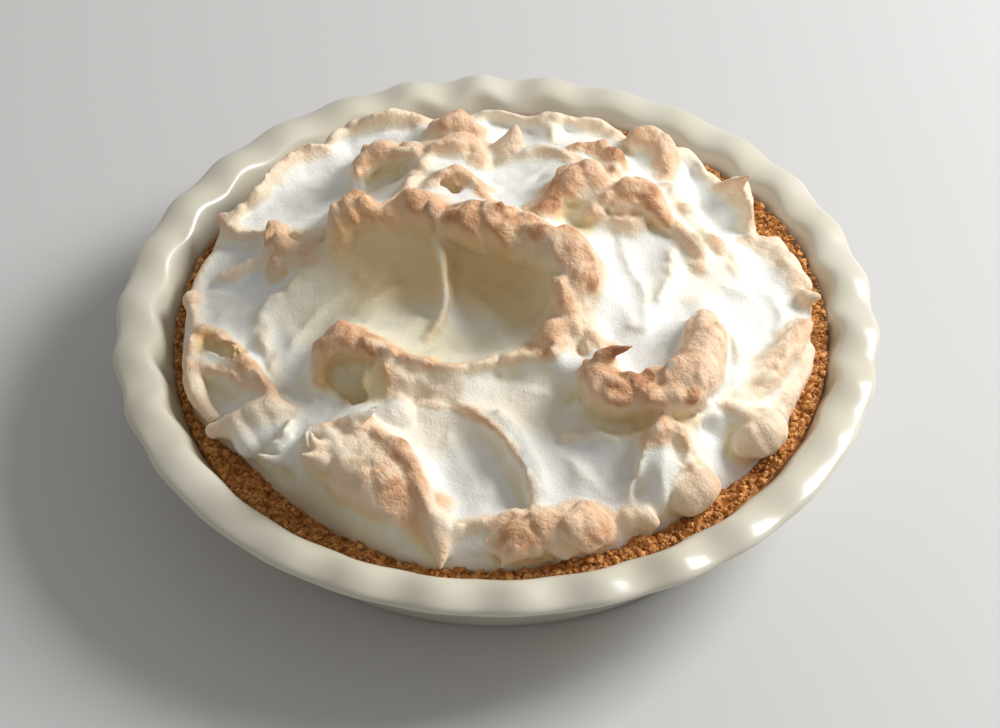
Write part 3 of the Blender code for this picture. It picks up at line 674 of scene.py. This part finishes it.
# Rolls where the foam folded over: softness, browning, and the middle line with its radius.
ROLLS = (
    # the tall ridge
    (1.5, 0.72, ((-55, 11, 73, 4), (-54, 14, 76, 6), (-50, 16, 79, 6.5), (-45, 16, 78, 4.5),
        (-39, 14, 78, 3.2), (-32, 15, 80, 5), (-27, 17, 81, 7), (-22, 13, 79, 5.5), (-20, 9, 76, 3))),
    (1.5, 0.68, ((-16, 9, 79, 4.5), (-11, 9, 81, 6.5), (-4, 6, 81, 7.5), (3, 3, 81, 6.8),
        (8, 0, 80, 7), (14, -4, 81, 6.2), (22, -8, 82, 9.5), (26, -13, 80, 7.5), (25, -17, 76, 6.5),
        (22, -23, 73, 4.5))),
    (1.5, 0.6, ((23, -22, 74, 5), (26, -26, 69, 3.2), (20, -31, 68, 4.6), (16, -36, 66, 3))),
    # the lip
    (2, 0.7, ((-59, -38, 60, 3), (-57, -35, 65, 4.2), (-52, -33, 66, 5), (-46, -36, 66, 4),
        (-40, -38, 65, 3))),
    # the hook and its roll
    (1.5, 0.75, ((33, -52, 70, 4.6), (35, -57, 69, 5.8), (41, -60, 68, 6.4), (49, -59, 67, 6))),
    (1.5, 0.54, ((53, -59, 66, 7.5), (61, -57, 67, 9), (67, -50, 69, 8.4), (71, -40, 70, 7),
        (71, -30, 70, 4.6))),
    # the roll over the front edge
    (1.2, 0.8, ((5, -104, 45, 6.5), (11, -103, 45, 7.6), (20, -103, 46, 7), (29, -101, 46, 7.8),
        (33, -101, 45, 6))),
    # folds at the front right
    (1.2, 0.42, ((63, -86, 45, 6.2), (67, -84, 46, 7.4))),
    (1.2, 0.42, ((85, -63, 47, 6.6), (90, -60, 48, 8.4), (94, -57, 48, 4.6))),
    (2, 0.3, ((44, -96, 44, 3.2), (48, -95, 45, 3.8), (51, -96, 43, 3.2))),
    # the white fold by the swell
    (1, 0.06, ((-38, -63, 57, 5.6), (-34, -62, 57, 6.2), (-32, -59, 58, 4.6))),
    # inside the pocket
    (2, 0.2, ((-47, -48, 53, 4.2), (-44, -47, 56, 5), (-41, -44, 59, 4.4))),
    # the cup
    (1.5, 0.3, ((-103, -11, 45, 3.2), (-106, -18, 44.5, 3.2), (-106, -28, 44, 3.4),
        (-103, -38, 42.5, 3.2), (-97, -47, 41.5, 2.6))),
    (1.2, 0.3, ((-96, -54, 43, 3.2), (-87, -54, 46, 5), (-78, -51, 50, 5), (-72, -51, 49, 3.6))),
    (3, 0.03, ((-84, -58, 42, 6), (-76, -55, 44, 6))),
    # the upper right
    (1.2, 0.6, ((15, 23, 74, 3.4), (21, 28, 75, 5), (27, 33, 77, 6.4), (33, 36, 78, 7.2))),
    (1.2, 0.55, ((38, 29, 73, 4), (45, 31, 75, 5.4), (52, 31, 74, 5.4), (57, 27, 72, 4))),
    (1.2, 0.5, ((52, 73, 63, 4.2), (57, 73, 65, 4.8), (61, 67, 63, 4.6), (61, 61, 61, 3.4))),
    (1.2, 0.5, ((89, 55, 56, 4), (91, 51, 53, 3.2))),
    # the upper left
    (1.2, 0.6, ((-49, 59, 63, 4.2), (-43, 62, 66, 5), (-35, 63, 66, 4), (-27, 61, 66, 3.4))),
    (1.2, 0.6, ((-23, 63, 67, 4), (-16, 64, 68, 5.4), (-10, 64, 67, 5), (-6, 59, 65, 3.6))),
    (1.2, 0.6, ((-21, 76, 65, 4.4), (-14, 77, 67, 5.4), (-9, 75, 65, 4.4))),
    (1.2, 0.55, ((-23, 35, 72, 3), (-18, 39, 74, 4), (-12, 39, 74, 4.4), (-6, 36, 72, 3.6))),
    (1.2, 0.85, ((-79, 28, 57.5, 3.4), (-75, 20, 57, 5), (-68, 17, 60, 4), (-63, 16, 62, 3))),
    (1.2, 0.85, ((-75, 19, 57, 4.4), (-77, 13, 54.5, 3.2))),
    (1.5, 0.3, ((-77, 18, 57, 2.6), (-86, 18, 54, 1.6), (-95, 17, 51, 1))),
    # the right side
    (2, 0.34, ((110, -6, 46, 2.6), (104, -16, 48, 3.8), (97, -26, 49, 4), (89, -38, 49, 3.4))),
    (1.5, 0.25, ((109, -16, 43, 3), (106, -27, 42, 3.4), (99, -39, 42, 3.6))),
    (1.2, 0.4, ((93, 37, 46, 3.2), (99, 32, 46, 4.4), (105, 24, 46, 4.4), (110, 15, 45, 3.8))),
)  # fmt: skip
# Slots that stay open under a fold: softness, and the line with its radius.
SLOTS = (
    # the loop
    (1, ((-19, 34, 75, 1.4), (-14, 33, 75, 2.2), (-10, 34, 74, 1.4))),
    # the slit in the arm
    (0.8, ((20, -27, 80, 1.1), (22, -30, 78.5, 1.9), (24, -31, 74, 1))),
    # the pocket
    (1, ((-54, -40, 58, 3.2), (-52, -43, 57, 4.4), (-48, -47, 55.5, 4.4), (-45, -50, 54, 3.2))),
    # the cup
    (1, ((-102, -17, 47, 2.4), (-96, -21, 48.5, 3.2), (-90, -26, 50, 2.2))),
    # beside the fold
    (0.8, ((59, -76, 61, 1), (61, -77, 58, 1.6), (61, -79, 56, 0.8))),
)  # fmt: skip
# Places that took colour without standing out, some partly with a painted warm shade: browning, fade and
# the line with its radius.
TONES = (
    # great hollows: lightly toasted cream, and partly a painted warm shade where they lie in shadow
    (0.26, 16, ((-9, -1, 72, 6), (5, -6, 70, 8), (13, -15, 67, 6))),
    (0.24, 18, ((-51, 2, 72, 6), (-39, 1, 70, 8), (-28, -1, 68, 6))),
    # apron
    (0.27, 8, ((-35, -45, 65, 4), (-26, -49, 64, 5), (-17, -52, 62, 4))),
    # the swell
    (0.47, 5, ((-56, -79, 61, 6), (-49, -86, 60, 9), (-39, -92, 57, 8), (-29, -100, 54, 5))),
    (0.68, 7, ((-37, -90, 57, 3), (-30, -98, 54, 4), (-22, -104, 49, 4))),
    # slope of the high ridge
    (0.42, 4, ((39, 23, 76, 4), (46, 22, 76.5, 5), (53, 22, 76, 4))),
    # cream foam round the step: its cream tone, and partly a painted warm shade in its folds
    (0.13, 13, ((-32, -63, 60, 6), (-19, -64, 58, 6), (-5, -58, 61, 6), (11, -57, 60, 8),
        (25, -60, 58, 6))),
    (0.12, 8, ((72, 16, 64, 5), (78, 7, 60, 5), (71, -5, 61, 5))),
    # front roll
    (0.6, 6, ((8, -107, 47, 3), (21, -105, 48, 4), (31, -103, 47, 3))),
)  # fmt: skip
# Places given a painted yellowish shade, where hollows lie in shadow or under a roll: share, fade and the
# line with its radius.
PAINTED_SHADE_PLACES = (
    # great hollows
    (1, 16, ((-9, -1, 72, 6), (5, -7, 69, 8), (13, -15, 67, 6))),
    (0.6, 11, ((-61, -16, 58, 6), (-47, -18, 61, 7), (-30, -28, 64, 6), (-12, -34, 64, 6),
        (8, -29, 64, 6))),
    (0.6, 9, ((-69, -8, 57, 6), (-62, -1, 61, 6))),
    (0.9, 18, ((-51, 5, 72, 6), (-39, 1, 70, 8), (-28, -1, 68, 6))),
    # pocket
    (1.2, 5, ((-53, -40, 57, 6), (-42, -46, 57, 7))),
    # under the roll
    (0.7, 5, ((35, -63, 62, 3), (48, -67, 60, 3), (65, -65, 60, 3))),
    # basin
    (0.6, 6, ((-43, 55, 61, 5), (-36, 50, 64, 5))),
    # beside the high ridge
    (0.9, 5, ((23, 23, 69, 3), (31, 18, 69, 3))),
    # slit
    (1.2, 2, ((21, -20, 74, 2), (24, -26, 69, 2))),
    # slot of the cup
    (1.2, 3, ((-102, -16, 46, 3), (-91, -24, 48, 3))),
)  # fmt: skip
GRAIN = 0.95  # how fine the body is worked, in millimetres
BOX_LOW, BOX_HIGH = (-119, -122, 25), (119, 116, 101)
FOOT = 29.0  # it lies on the filling here
EDGE_HEIGHT, EDGE_SOFT = 41.0, 5.0
DOME_EDGE, DOME_RISE, DOME_RADIUS = 50.0, 14.0, 110.0
LINE_STEPS = 5  # short pieces between two given points of a line
HOLLOWNESS = 0.10  # how strongly the skin between two crests is drawn hollow, per millimetre
SWELL_FULL, SWELL_LUMPY = 1.2, 0.8  # how full a swell stays towards its sides, and how lumpy it is
HOLLOW_HELD, HOLLOW_RISE = 0.45, 0.6  # held share of a hollow's half width, and its rise to the side
CREST_HELD, CREST_SIDE = 0.93, 0.1  # held share of a crest's radius, and how far its side drops
THINNEST = 0.75 * GRAIN  # a thinner line would fall between the cells
PULLS, PULL = 500, 1.9  # rounds of settling until the skin hangs still, and how far each pulls
CREST_SPREAD = 5  # rounds in which a crest's lumps spread to its sides
LEAN = 0.36  # how far a crest leans forward for its height above the dome
WANDER = ((1.5, 12.0, 21), (0.6, 5.0, 22))  # how far crests stray, over what length, and a seed
SIDEWAYS = 50  # added to the seed for straying the other way
LUMPS = ((0.45, 8.0, 31), (0.25, 3.2, 32))  # the foam's unevenness in height, in the same way
KNUCKLES = ((3.0, 8.0, 41), (1.3, 3.8, 42))  # and that of the crests
ROLL_LUMPS = ((2.4, 7.5, 51), (1.0, 3.4, 52))
SMOOTH_ROLL = 0.3  # share of those lumps on a roll that stays white
LUMP_MIDDLE = 0.35  # a lump stands out where the noise is above this, and a dent lies below
LUMP_DRIFT = (0.7, 0.6)  # how lumps shift with height, so that a steep side isn't striped
CREASE_DEPTH, CREASE_WIDTH = 1.3, 0.09  # narrow creases between the knuckles
CREASE_SPACING, CREASE_SEED = 10.0, 43
STEEPEST = 3.0  # the slope that a steeper skin counts as
AIR_ROUNDS = 3  # rounds of averaging the open air
LAST = 1.001  # keeps a place inside the last cell
MOST_TRIANGLES = 196_000
FAR = 99.0  # farther outside than matters


def dome(x, y):
    """The heap's broad height over the plan."""
    return DOME_EDGE + DOME_RISE * (1 - (x * x + y * y) / DOME_RADIUS**2)


def upright(points):
    """A line as it stood before it leaned over."""
    line = eased(points, LINE_STEPS)
    line[:, 1] += LEAN * np.maximum(line[:, 2] - dome(line[:, 0], line[:, 1]), 0)
    return line


def drawn(points):
    """The smooth line through the given points, or a single point as a line of no length."""
    if len(points) == 1:
        return np.array([points[0], points[0]], float)
    return eased(points, LINE_STEPS)


def span(line, margin):
    """The least and the greatest x, y and height within a margin of a line."""
    reach = line[:, 3:] + margin
    return (line[:, :3] - reach).min(axis=0), (line[:, :3] + reach).max(axis=0)


def outside(line, x, y, z):
    """The distance outside a round body along a line."""
    distance = FAR
    for a, b in zip(line, line[1:]):
        step = b[:3] - a[:3]
        length = float(step @ step) or 1.0
        t = ((x - a[0]) * step[0] + (y - a[1]) * step[1] + (z - a[2]) * step[2]) / length
        t = np.clip(t, 0, 1)
        gap = (x - a[0] - t * step[0]) ** 2 + (y - a[1] - t * step[1]) ** 2
        gap = np.sqrt(gap + (z - a[2] - t * step[2]) ** 2) - (a[3] + t * (b[3] - a[3]))
        distance = np.minimum(distance, gap)
    return distance


class Body:
    """A soft body in a box of cells, each holding its distance outside the surface."""

    CORNERS = [(i, j, k) for i in (0, 1) for j in (0, 1) for k in (0, 1)]

    def __init__(self, low, high, grain):
        self.low = np.array(low, float)
        self.grain = grain
        counts = np.ceil((np.array(high) - self.low) / grain).astype(int) + 1
        self.axes = [self.low[i] + grain * np.arange(counts[i]) for i in range(3)]
        self.away = np.full(counts, FAR, np.float32)

    def window(self, line, margin, sides):
        """The cells round a line, in plan (2 sides) or in space (3)."""
        lowest, highest = span(line, margin)
        cells = []
        for i in range(sides):
            first = int((lowest[i] - self.low[i]) / self.grain)
            last = int((highest[i] - self.low[i]) / self.grain) + 2
            cells.append(slice(max(0, first), max(0, min(len(self.axes[i]), last))))
        return tuple(cells)

    def beside(self, line, margin=2):
        """In plan: the window, the distance from the line, and its height and radius there."""
        window = self.window(line, margin, 2)
        x, y = np.meshgrid(self.axes[0][window[0]], self.axes[1][window[1]], indexing="ij")
        distance = np.full(x.shape, np.inf)
        height, radius = np.zeros(x.shape), np.ones(x.shape)
        for a, b in zip(line, line[1:]):
            step = b - a
            along = (x - a[0]) * step[0] + (y - a[1]) * step[1]
            along = np.clip(along / max(step[0] ** 2 + step[1] ** 2, 1e-9), 0.0, 1.0)
            gap = np.hypot(x - a[0] - along * step[0], y - a[1] - along * step[1])
            closer = gap < distance
            distance = np.where(closer, gap, distance)
            height = np.where(closer, a[2] + along * step[2], height)
            radius = np.where(closer, a[3] + along * step[3], radius)
        return window, distance, height, radius

    def round_line(self, points, margin):
        """In space: the window and the distance outside a round body along the line."""
        line = drawn(points)
        window = self.window(line, margin, 3)
        cells = [self.axes[i][window[i]].astype(np.float32) for i in range(3)]
        return window, outside(line, *np.meshgrid(*cells, indexing="ij", sparse=True))

    def lumpy(self, window, size, seed):
        """Smooth noise in space."""
        x, y, z = np.meshgrid(*(self.axes[i][window[i]] for i in range(3)), indexing="ij")
        return rough(x + LUMP_DRIFT[0] * z, y - LUMP_DRIFT[1] * z, size, seed)

    def add(self, points, soft, lumps=()):
        """Joins a round body to this one."""
        window, distance = self.round_line(points, soft + 2)
        for depth, size, seed in lumps:
            distance = distance + depth * (LUMP_MIDDLE - np.abs(self.lumpy(window, size, seed)))
        self.away[window] = -soft_max(-self.away[window], -distance, soft)

    def cut(self, points, soft, lumps):
        """Cuts a round body out of this one."""
        window, distance = self.round_line(points, soft + 2)
        for depth, size, seed in lumps:
            distance = distance + depth * self.lumpy(window, size, seed)
        self.away[window] = soft_max(self.away[window], -distance, soft)

    def skin(self):
        """Points and four-sided faces of the surface, one point to each cell that it crosses."""
        away = self.away
        inside = away < 0
        shape = tuple(n - 1 for n in away.shape)

        def at(values, corner):
            return values[tuple(slice(c, c + n) for c, n in zip(corner, shape))]

        full = sum(at(inside, corner).astype(np.int8) for corner in self.CORNERS)
        crossed = (full > 0) & (full < 8)
        cells = np.argwhere(crossed)
        index = np.full(shape, -1, np.int32)
        index[crossed] = np.arange(len(cells))
        held = {corner: at(away, corner)[crossed] for corner in self.CORNERS}
        total = np.zeros((len(cells), 3))
        hits = np.zeros(len(cells))
        for corner in self.CORNERS:
            for axis in range(3):
                if corner[axis]:
                    continue
                other = tuple(c + (i == axis) for i, c in enumerate(corner))
                a, b = held[corner], held[other]
                cross = (a < 0) != (b < 0)
                point = np.tile(np.array(corner, float), (int(cross.sum()), 1))
                point[:, axis] += a[cross] / (a[cross] - b[cross])
                total[cross] += point
                hits[cross] += 1
        points = self.low + self.grain * (cells + total / hits[:, None])
        sides = []
        for axis in range(3):
            first, second = [i for i in range(3) if i != axis]
            here, there = [slice(1, -1)] * 3, [slice(1, -1)] * 3
            here[axis], there[axis] = slice(0, -1), slice(1, None)
            before, after = inside[tuple(here)], inside[tuple(there)]
            edges = np.argwhere(before != after)
            outward = before[tuple(edges.T)]
            if axis == 1:
                outward = ~outward
            ring = []
            for a, b in ((0, 0), (1, 0), (1, 1), (0, 1)):
                cell = edges.copy()
                cell[:, first] += a
                cell[:, second] += b
                ring.append(index[tuple(cell.T)])
            side = np.stack(ring, axis=1)
            side[~outward] = side[~outward][:, ::-1]
            sides.append(side)
        return points, np.concatenate(sides)

    def open_air(self, points, reach):
        """The share of open air within some millimetres of each point: over a half on a crest."""
        share = (self.away > 0).astype(np.float32)
        cells = max(1, int(reach / self.grain))
        for axis in range(3):
            for _ in range(AIR_ROUNDS):
                total = np.cumsum(share, axis=axis)
                ends = np.arange(share.shape[axis])
                upper = np.take(total, np.minimum(ends + cells, ends[-1]), axis=axis)
                lower = np.take(total, np.maximum(ends - cells, 0), axis=axis)
                share = (upper - lower) / (2 * cells)
        place = np.clip((points - self.low) / self.grain, 0, np.array(share.shape) - LAST)
        cell = place.astype(int)
        part = place - cell
        found = np.zeros(len(points))
        for corner in self.CORNERS:
            weight = np.prod(np.where(corner, part, 1 - part), axis=1)
            found += weight * share[tuple((cell + corner).T)]
        return found


def soft_max(a, b, soft):
    """The greater of two values, with a fillet where they meet."""
    share = np.clip(0.5 + 0.5 * (a - b) / soft, 0.0, 1.0)
    return b + share * (a - b) + soft * share * (1 - share)


# First the skin between crests and hollows, as a height over the plan.
body = Body(BOX_LOW, BOX_HIGH, GRAIN)
x, y = np.meshgrid(body.axes[0], body.axes[1], indexing="ij")
rest = dome(x, y)
past_edge = np.hypot(x, y) - round_the_pie(OUTLINE, np.arctan2(y, x))
held = past_edge > 0
top = np.where(held, EDGE_HEIGHT, rest)
bend = np.full(x.shape, HOLLOWNESS)
swollen = np.zeros(x.shape)
for bulge, points in SWELLS:
    window, distance, _, radius = body.beside(upright(points))
    share = np.clip(SWELL_FULL * (1 - distance / radius), 0, 1)
    bend[window] = bend[window] * (1 - share) - bulge * share
    swollen[window] = np.maximum(swollen[window], SWELL_LUMPY * share)
for points in HOLLOWS:
    window, distance, height, radius = body.beside(upright(points))
    low = distance < np.maximum(HOLLOW_HELD * radius, THINNEST)
    bottom = height + HOLLOW_RISE * radius * (distance / radius) ** 2
    top[window] = np.where(low, bottom, top[window])
    held[window] |= low
crest = np.zeros(x.shape, bool)
for _, points in CRESTS:
    window, distance, height, radius = body.beside(upright(points))
    high = distance < np.maximum(CREST_HELD * radius, THINNEST)
    drop = np.sqrt(np.maximum(radius**2 - distance**2, CREST_SIDE * radius**2))
    side = height - radius + drop
    higher = high & (~crest[window] | (side > top[window]))
    top[window] = np.where(higher, side, top[window])
    crest[window] |= high
held |= crest
free = (~held[1:-1, 1:-1]).astype(float)
chequer = np.add.outer(np.arange(x.shape[0] - 2), np.arange(x.shape[1] - 2)) % 2
sag = bend[1:-1, 1:-1] * GRAIN**2
inner = top[1:-1, 1:-1]
for _ in range(PULLS):
    for field in (0, 1):
        around = top[:-2, 1:-1] + top[2:, 1:-1] + top[1:-1, :-2] + top[1:-1, 2:]
        inner += PULL * free * (chequer == field) * ((around - sag) / 4 - inner)


def even_out(values):
    """Draws each place halfway to the mean of its four neighbours."""
    values[1:-1, 1:-1] = (
        4 * values[1:-1, 1:-1] + values[:-2, 1:-1] + values[2:, 1:-1]
        + values[1:-1, :-2] + values[1:-1, 2:]
    ) / 8  # fmt: skip


even_out(top)
for depth, size, seed in LUMPS:
    top += depth * rough(x, y, size, seed)
rugged = np.maximum(crest, swollen)
for _ in range(CREST_SPREAD):
    even_out(rugged)
for depth, size, seed in KNUCKLES:
    top += depth * rugged * (np.abs(rough(x, y, size, seed)) - LUMP_MIDDLE)
crease = np.exp(-((rough(x, y, CREASE_SPACING, CREASE_SEED) / CREASE_WIDTH) ** 2))
top -= CREASE_DEPTH * rugged * crease


def at_place(values, x, y):
    """Values of the plan's grid, read between its points."""
    u = np.clip((x - body.low[0]) / GRAIN, 0, values.shape[0] - LAST)
    v = np.clip((y - body.low[1]) / GRAIN, 0, values.shape[1] - LAST)
    i, j = u.astype(int), v.astype(int)
    s, t = u - i, v - j
    near = values[i, j] * (1 - s) + values[i + 1, j] * s
    far = values[i, j + 1] * (1 - s) + values[i + 1, j + 1] * s
    return near * (1 - t) + far * t


# Then the body under that skin, leaning forward, with its rolls, knobs, points and slots.
steep = np.sqrt(1 + np.minimum(np.hypot(*np.gradient(top, GRAIN)), STEEPEST) ** 2)
stray_x = sum(far * rough(x, y, size, seed) for far, size, seed in WANDER)
stray_y = sum(far * rough(x, y, size, seed + SIDEWAYS) for far, size, seed in WANDER)
for layer, level in enumerate(body.axes[2]):
    forward = LEAN * np.maximum(level - rest, 0)
    from_x, from_y = x + stray_x, y + stray_y + forward
    above = (level - at_place(top, from_x, from_y)) / at_place(steep, from_x, from_y)
    body.away[:, :, layer] = soft_max(above, past_edge, EDGE_SOFT)
for soft, _, points in KNOBS:
    body.add(points, soft)
for soft, amount, points in ROLLS:
    share = SMOOTH_ROLL + amount
    body.add(points, soft, [(depth * share, size, seed) for depth, size, seed in ROLL_LUMPS])
for soft, _, points in DRAWN_POINTS:
    body.add(points, soft)
for soft, points in SLOTS:
    body.cut(points, soft, ROLL_LUMPS)
levels = body.axes[2][None, None, :]
body.away[:] = np.maximum(body.away, FOOT - levels)
skin_points, skin_faces = body.skin()
cream = put_together("swirled_meringue", skin_points, skin_faces)
bpy.context.view_layer.objects.active = cream
cream.select_set(True)
# Only the heap itself stays: a speck that a cut left loose goes.
bpy.ops.object.mode_set(mode="EDIT")
bpy.ops.mesh.select_all(action="DESELECT")
bpy.ops.object.mode_set(mode="OBJECT")
cream.data.vertices[int(np.argmin(np.hypot(*skin_points[:, :2].T)))].select = True
bpy.ops.object.mode_set(mode="EDIT")
bpy.ops.mesh.select_linked()
bpy.ops.mesh.select_all(action="INVERT")
bpy.ops.mesh.delete(type="VERT")
bpy.ops.object.mode_set(mode="OBJECT")
settle = cream.modifiers.new("settle", "SMOOTH")
settle.factor = 0.5
settle.iterations = 1
bpy.ops.object.modifier_apply(modifier="settle")
thin = cream.modifiers.new("thin", "DECIMATE")
thin.ratio = min(1.0, MOST_TRIANGLES / (2 * len(cream.data.polygons)))
bpy.ops.object.modifier_apply(modifier="thin")
bpy.ops.object.shade_smooth()

# How far each place has browned: it is near a crest, knob or point, and it stands out into the
# oven's heat. Deep folds and the listed shaded hollows get a painted yellowish shade. Both are
# kept on the mesh.
RAGGED_SIZE, RAGGED_SEED, RAGGED_REACH = 4.0, 61, 1.1  # how far a browned place's edge strays
PATCH_SIZE, PATCH_SEED, PATCHINESS = 19.0, 62, 0.35  # broad paler and darker places
PALEST, DARKEST = 0.6, 1.25
CREST_FADE, FADE_BY_WIDTH = 2.2, 0.4  # browning fades out over this, and more on a wide crest
KNOB_FADE = 3.5
ROLL_FADE, ROLL_MARGIN = 2.2, 1.3  # a roll browns this far outside its line too
NEAR, NEAR_LEAST, NEAR_RANGE = 3.5, 0.47, 0.12  # open air within this, and what share counts
WIDE, WIDE_LEAST, WIDE_RANGE = 7.5, 0.5, 0.18
ANYWHERE = 0.07  # any place that stands out browns at least this much
# Folds with little open air round them get a painted yellowish shade: from this share down, full over
# this range.
FOLD_MOST, FOLD_RANGE = 0.45, 0.2

cream_points = places(cream)
painted = np.zeros(len(cream_points))
ragged = rough(cream_points[:, 0], cream_points[:, 1], RAGGED_SIZE, RAGGED_SEED)
patchy = rough(cream_points[:, 0], cream_points[:, 1], PATCH_SIZE, PATCH_SEED)
patchy = np.clip(1.0 + PATCHINESS * patchy, PALEST, DARKEST)


def lay_browning_and_shade(points, amount, fade):
    """Lays a share near a line, fading out over some millimetres: browning, and also the painted shade of
    the listed hollows.
    """
    line = drawn(points)
    lowest, highest = span(line, fade)
    near = np.all((cream_points > lowest) & (cream_points < highest), axis=1)
    distance = outside(line, *cream_points[near].T)
    share = np.clip(1 - (distance + RAGGED_REACH * ragged[near]) / fade, 0, 1)
    share = share * share * (3 - 2 * share) * amount * patchy[near]
    painted[near] = np.maximum(painted[near], share)


def keep(name, values):
    """Keeps one value for each point on the mesh."""
    store = cream.data.attributes.new(name, "FLOAT", "POINT")
    store.data.foreach_set("value", values.astype(np.float32))


for amount, points in CRESTS:
    fade = CREST_FADE + FADE_BY_WIDTH * max(point[3] for point in points)
    lay_browning_and_shade([(a, b, c - d, d) for a, b, c, d in points], amount, fade)
for _, amount, points in (*KNOBS, *DRAWN_POINTS):
    lay_browning_and_shade(points, amount, KNOB_FADE)
for _, amount, points in ROLLS:
    lay_browning_and_shade([(a, b, c, d + ROLL_MARGIN) for a, b, c, d in points], amount, ROLL_FADE)
near_air = body.open_air(cream_points, NEAR)
wide_air = body.open_air(cream_points, WIDE)
standing = np.clip((near_air - NEAR_LEAST) / NEAR_RANGE, 0, 1) * 0.5
standing = standing + np.clip((wide_air - WIDE_LEAST) / WIDE_RANGE, 0, 1) * 0.5
browning = painted * (0.5 + 0.5 * standing) + ANYWHERE * standing
painted[:] = 0
for amount, fade, points in TONES:
    lay_browning_and_shade(points, amount, fade)
keep("browning", np.maximum(browning, painted))
painted[:] = 0
# Painted yellowish shade in the listed hollows that lie in shadow.
for share, fade, points in PAINTED_SHADE_PLACES:
    lay_browning_and_shade(points, share, fade)
# Painted shade in deep folds, where little open air is near.
shade_in_folds = np.clip((FOLD_MOST - near_air) / FOLD_RANGE, 0, 1)
keep("painted_fold_shade", np.maximum(shade_in_folds, np.minimum(painted, 1)))

BROWNED = (
    (0.0, (0.865, 0.875, 0.865)),
    (0.10, (0.87, 0.84, 0.74)),
    (0.25, (0.865, 0.755, 0.59)),
    (0.42, (0.875, 0.68, 0.485)),
    (0.60, (0.83, 0.56, 0.36)),
    (0.80, (0.68, 0.38, 0.20)),
    (1.0, (0.46, 0.20, 0.085)),
)
# Tint of the painted shade, multiplied over the colour in shaded hollows and folds.
PAINTED_SHADE_TINT = (0.97, 0.89, 0.66)

foam_skin = bpy.data.materials.new("baked_meringue")
foam_skin.use_nodes = True
tree = foam_skin.node_tree
foam_shader = tree.nodes["Principled BSDF"]
foam_shader.inputs["Subsurface Weight"].default_value = 0.12
foam_shader.inputs["Subsurface Radius"].default_value = (1.0, 0.75, 0.45)
foam_shader.inputs["Subsurface Scale"].default_value = 0.002
foam_shader.inputs["Sheen Weight"].default_value = 0.08
baked_share = tree.nodes.new("ShaderNodeAttribute")
baked_share.attribute_name = "browning"
painted_shade_share = tree.nodes.new("ShaderNodeAttribute")
painted_shade_share.attribute_name = "painted_fold_shade"
mottle = noise(tree, scale=170, detail=4, roughness=0.55)
mottle = spread(tree, mottle, low=0.3, high=0.7, to_low=0.8, to_high=1.15)
shade = shades(tree, product(tree, baked_share.outputs["Fac"], mottle), BROWNED)
# Painted shade: hollows and folds are tinted darker and yellower.
shade = mixed(tree, painted_shade_share.outputs["Fac"], shade, PAINTED_SHADE_TINT, blend="MULTIPLY")
tree.links.new(shade, foam_shader.inputs["Base Color"])
satin = spread(tree, baked_share.outputs["Fac"], low=0.0, high=1.0, to_low=0.48, to_high=0.68)
tree.links.new(satin, foam_shader.inputs["Roughness"])
pits = product(tree, noise(tree, scale=260, detail=3, roughness=0.6), baked_share.outputs["Fac"])
pitted = relief(tree, pits, strength=0.8, distance=0.003)
bubbles = noise(tree, scale=800, detail=5, roughness=0.75)
pores = relief(tree, bubbles, strength=0.55, distance=0.001)
tree.links.new(pitted.outputs["Normal"], pores.inputs["Normal"])
tree.links.new(pores.outputs["Normal"], foam_shader.inputs["Normal"])
cream.data.materials.append(foam_skin)
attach(cream, "root")
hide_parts("meringue")
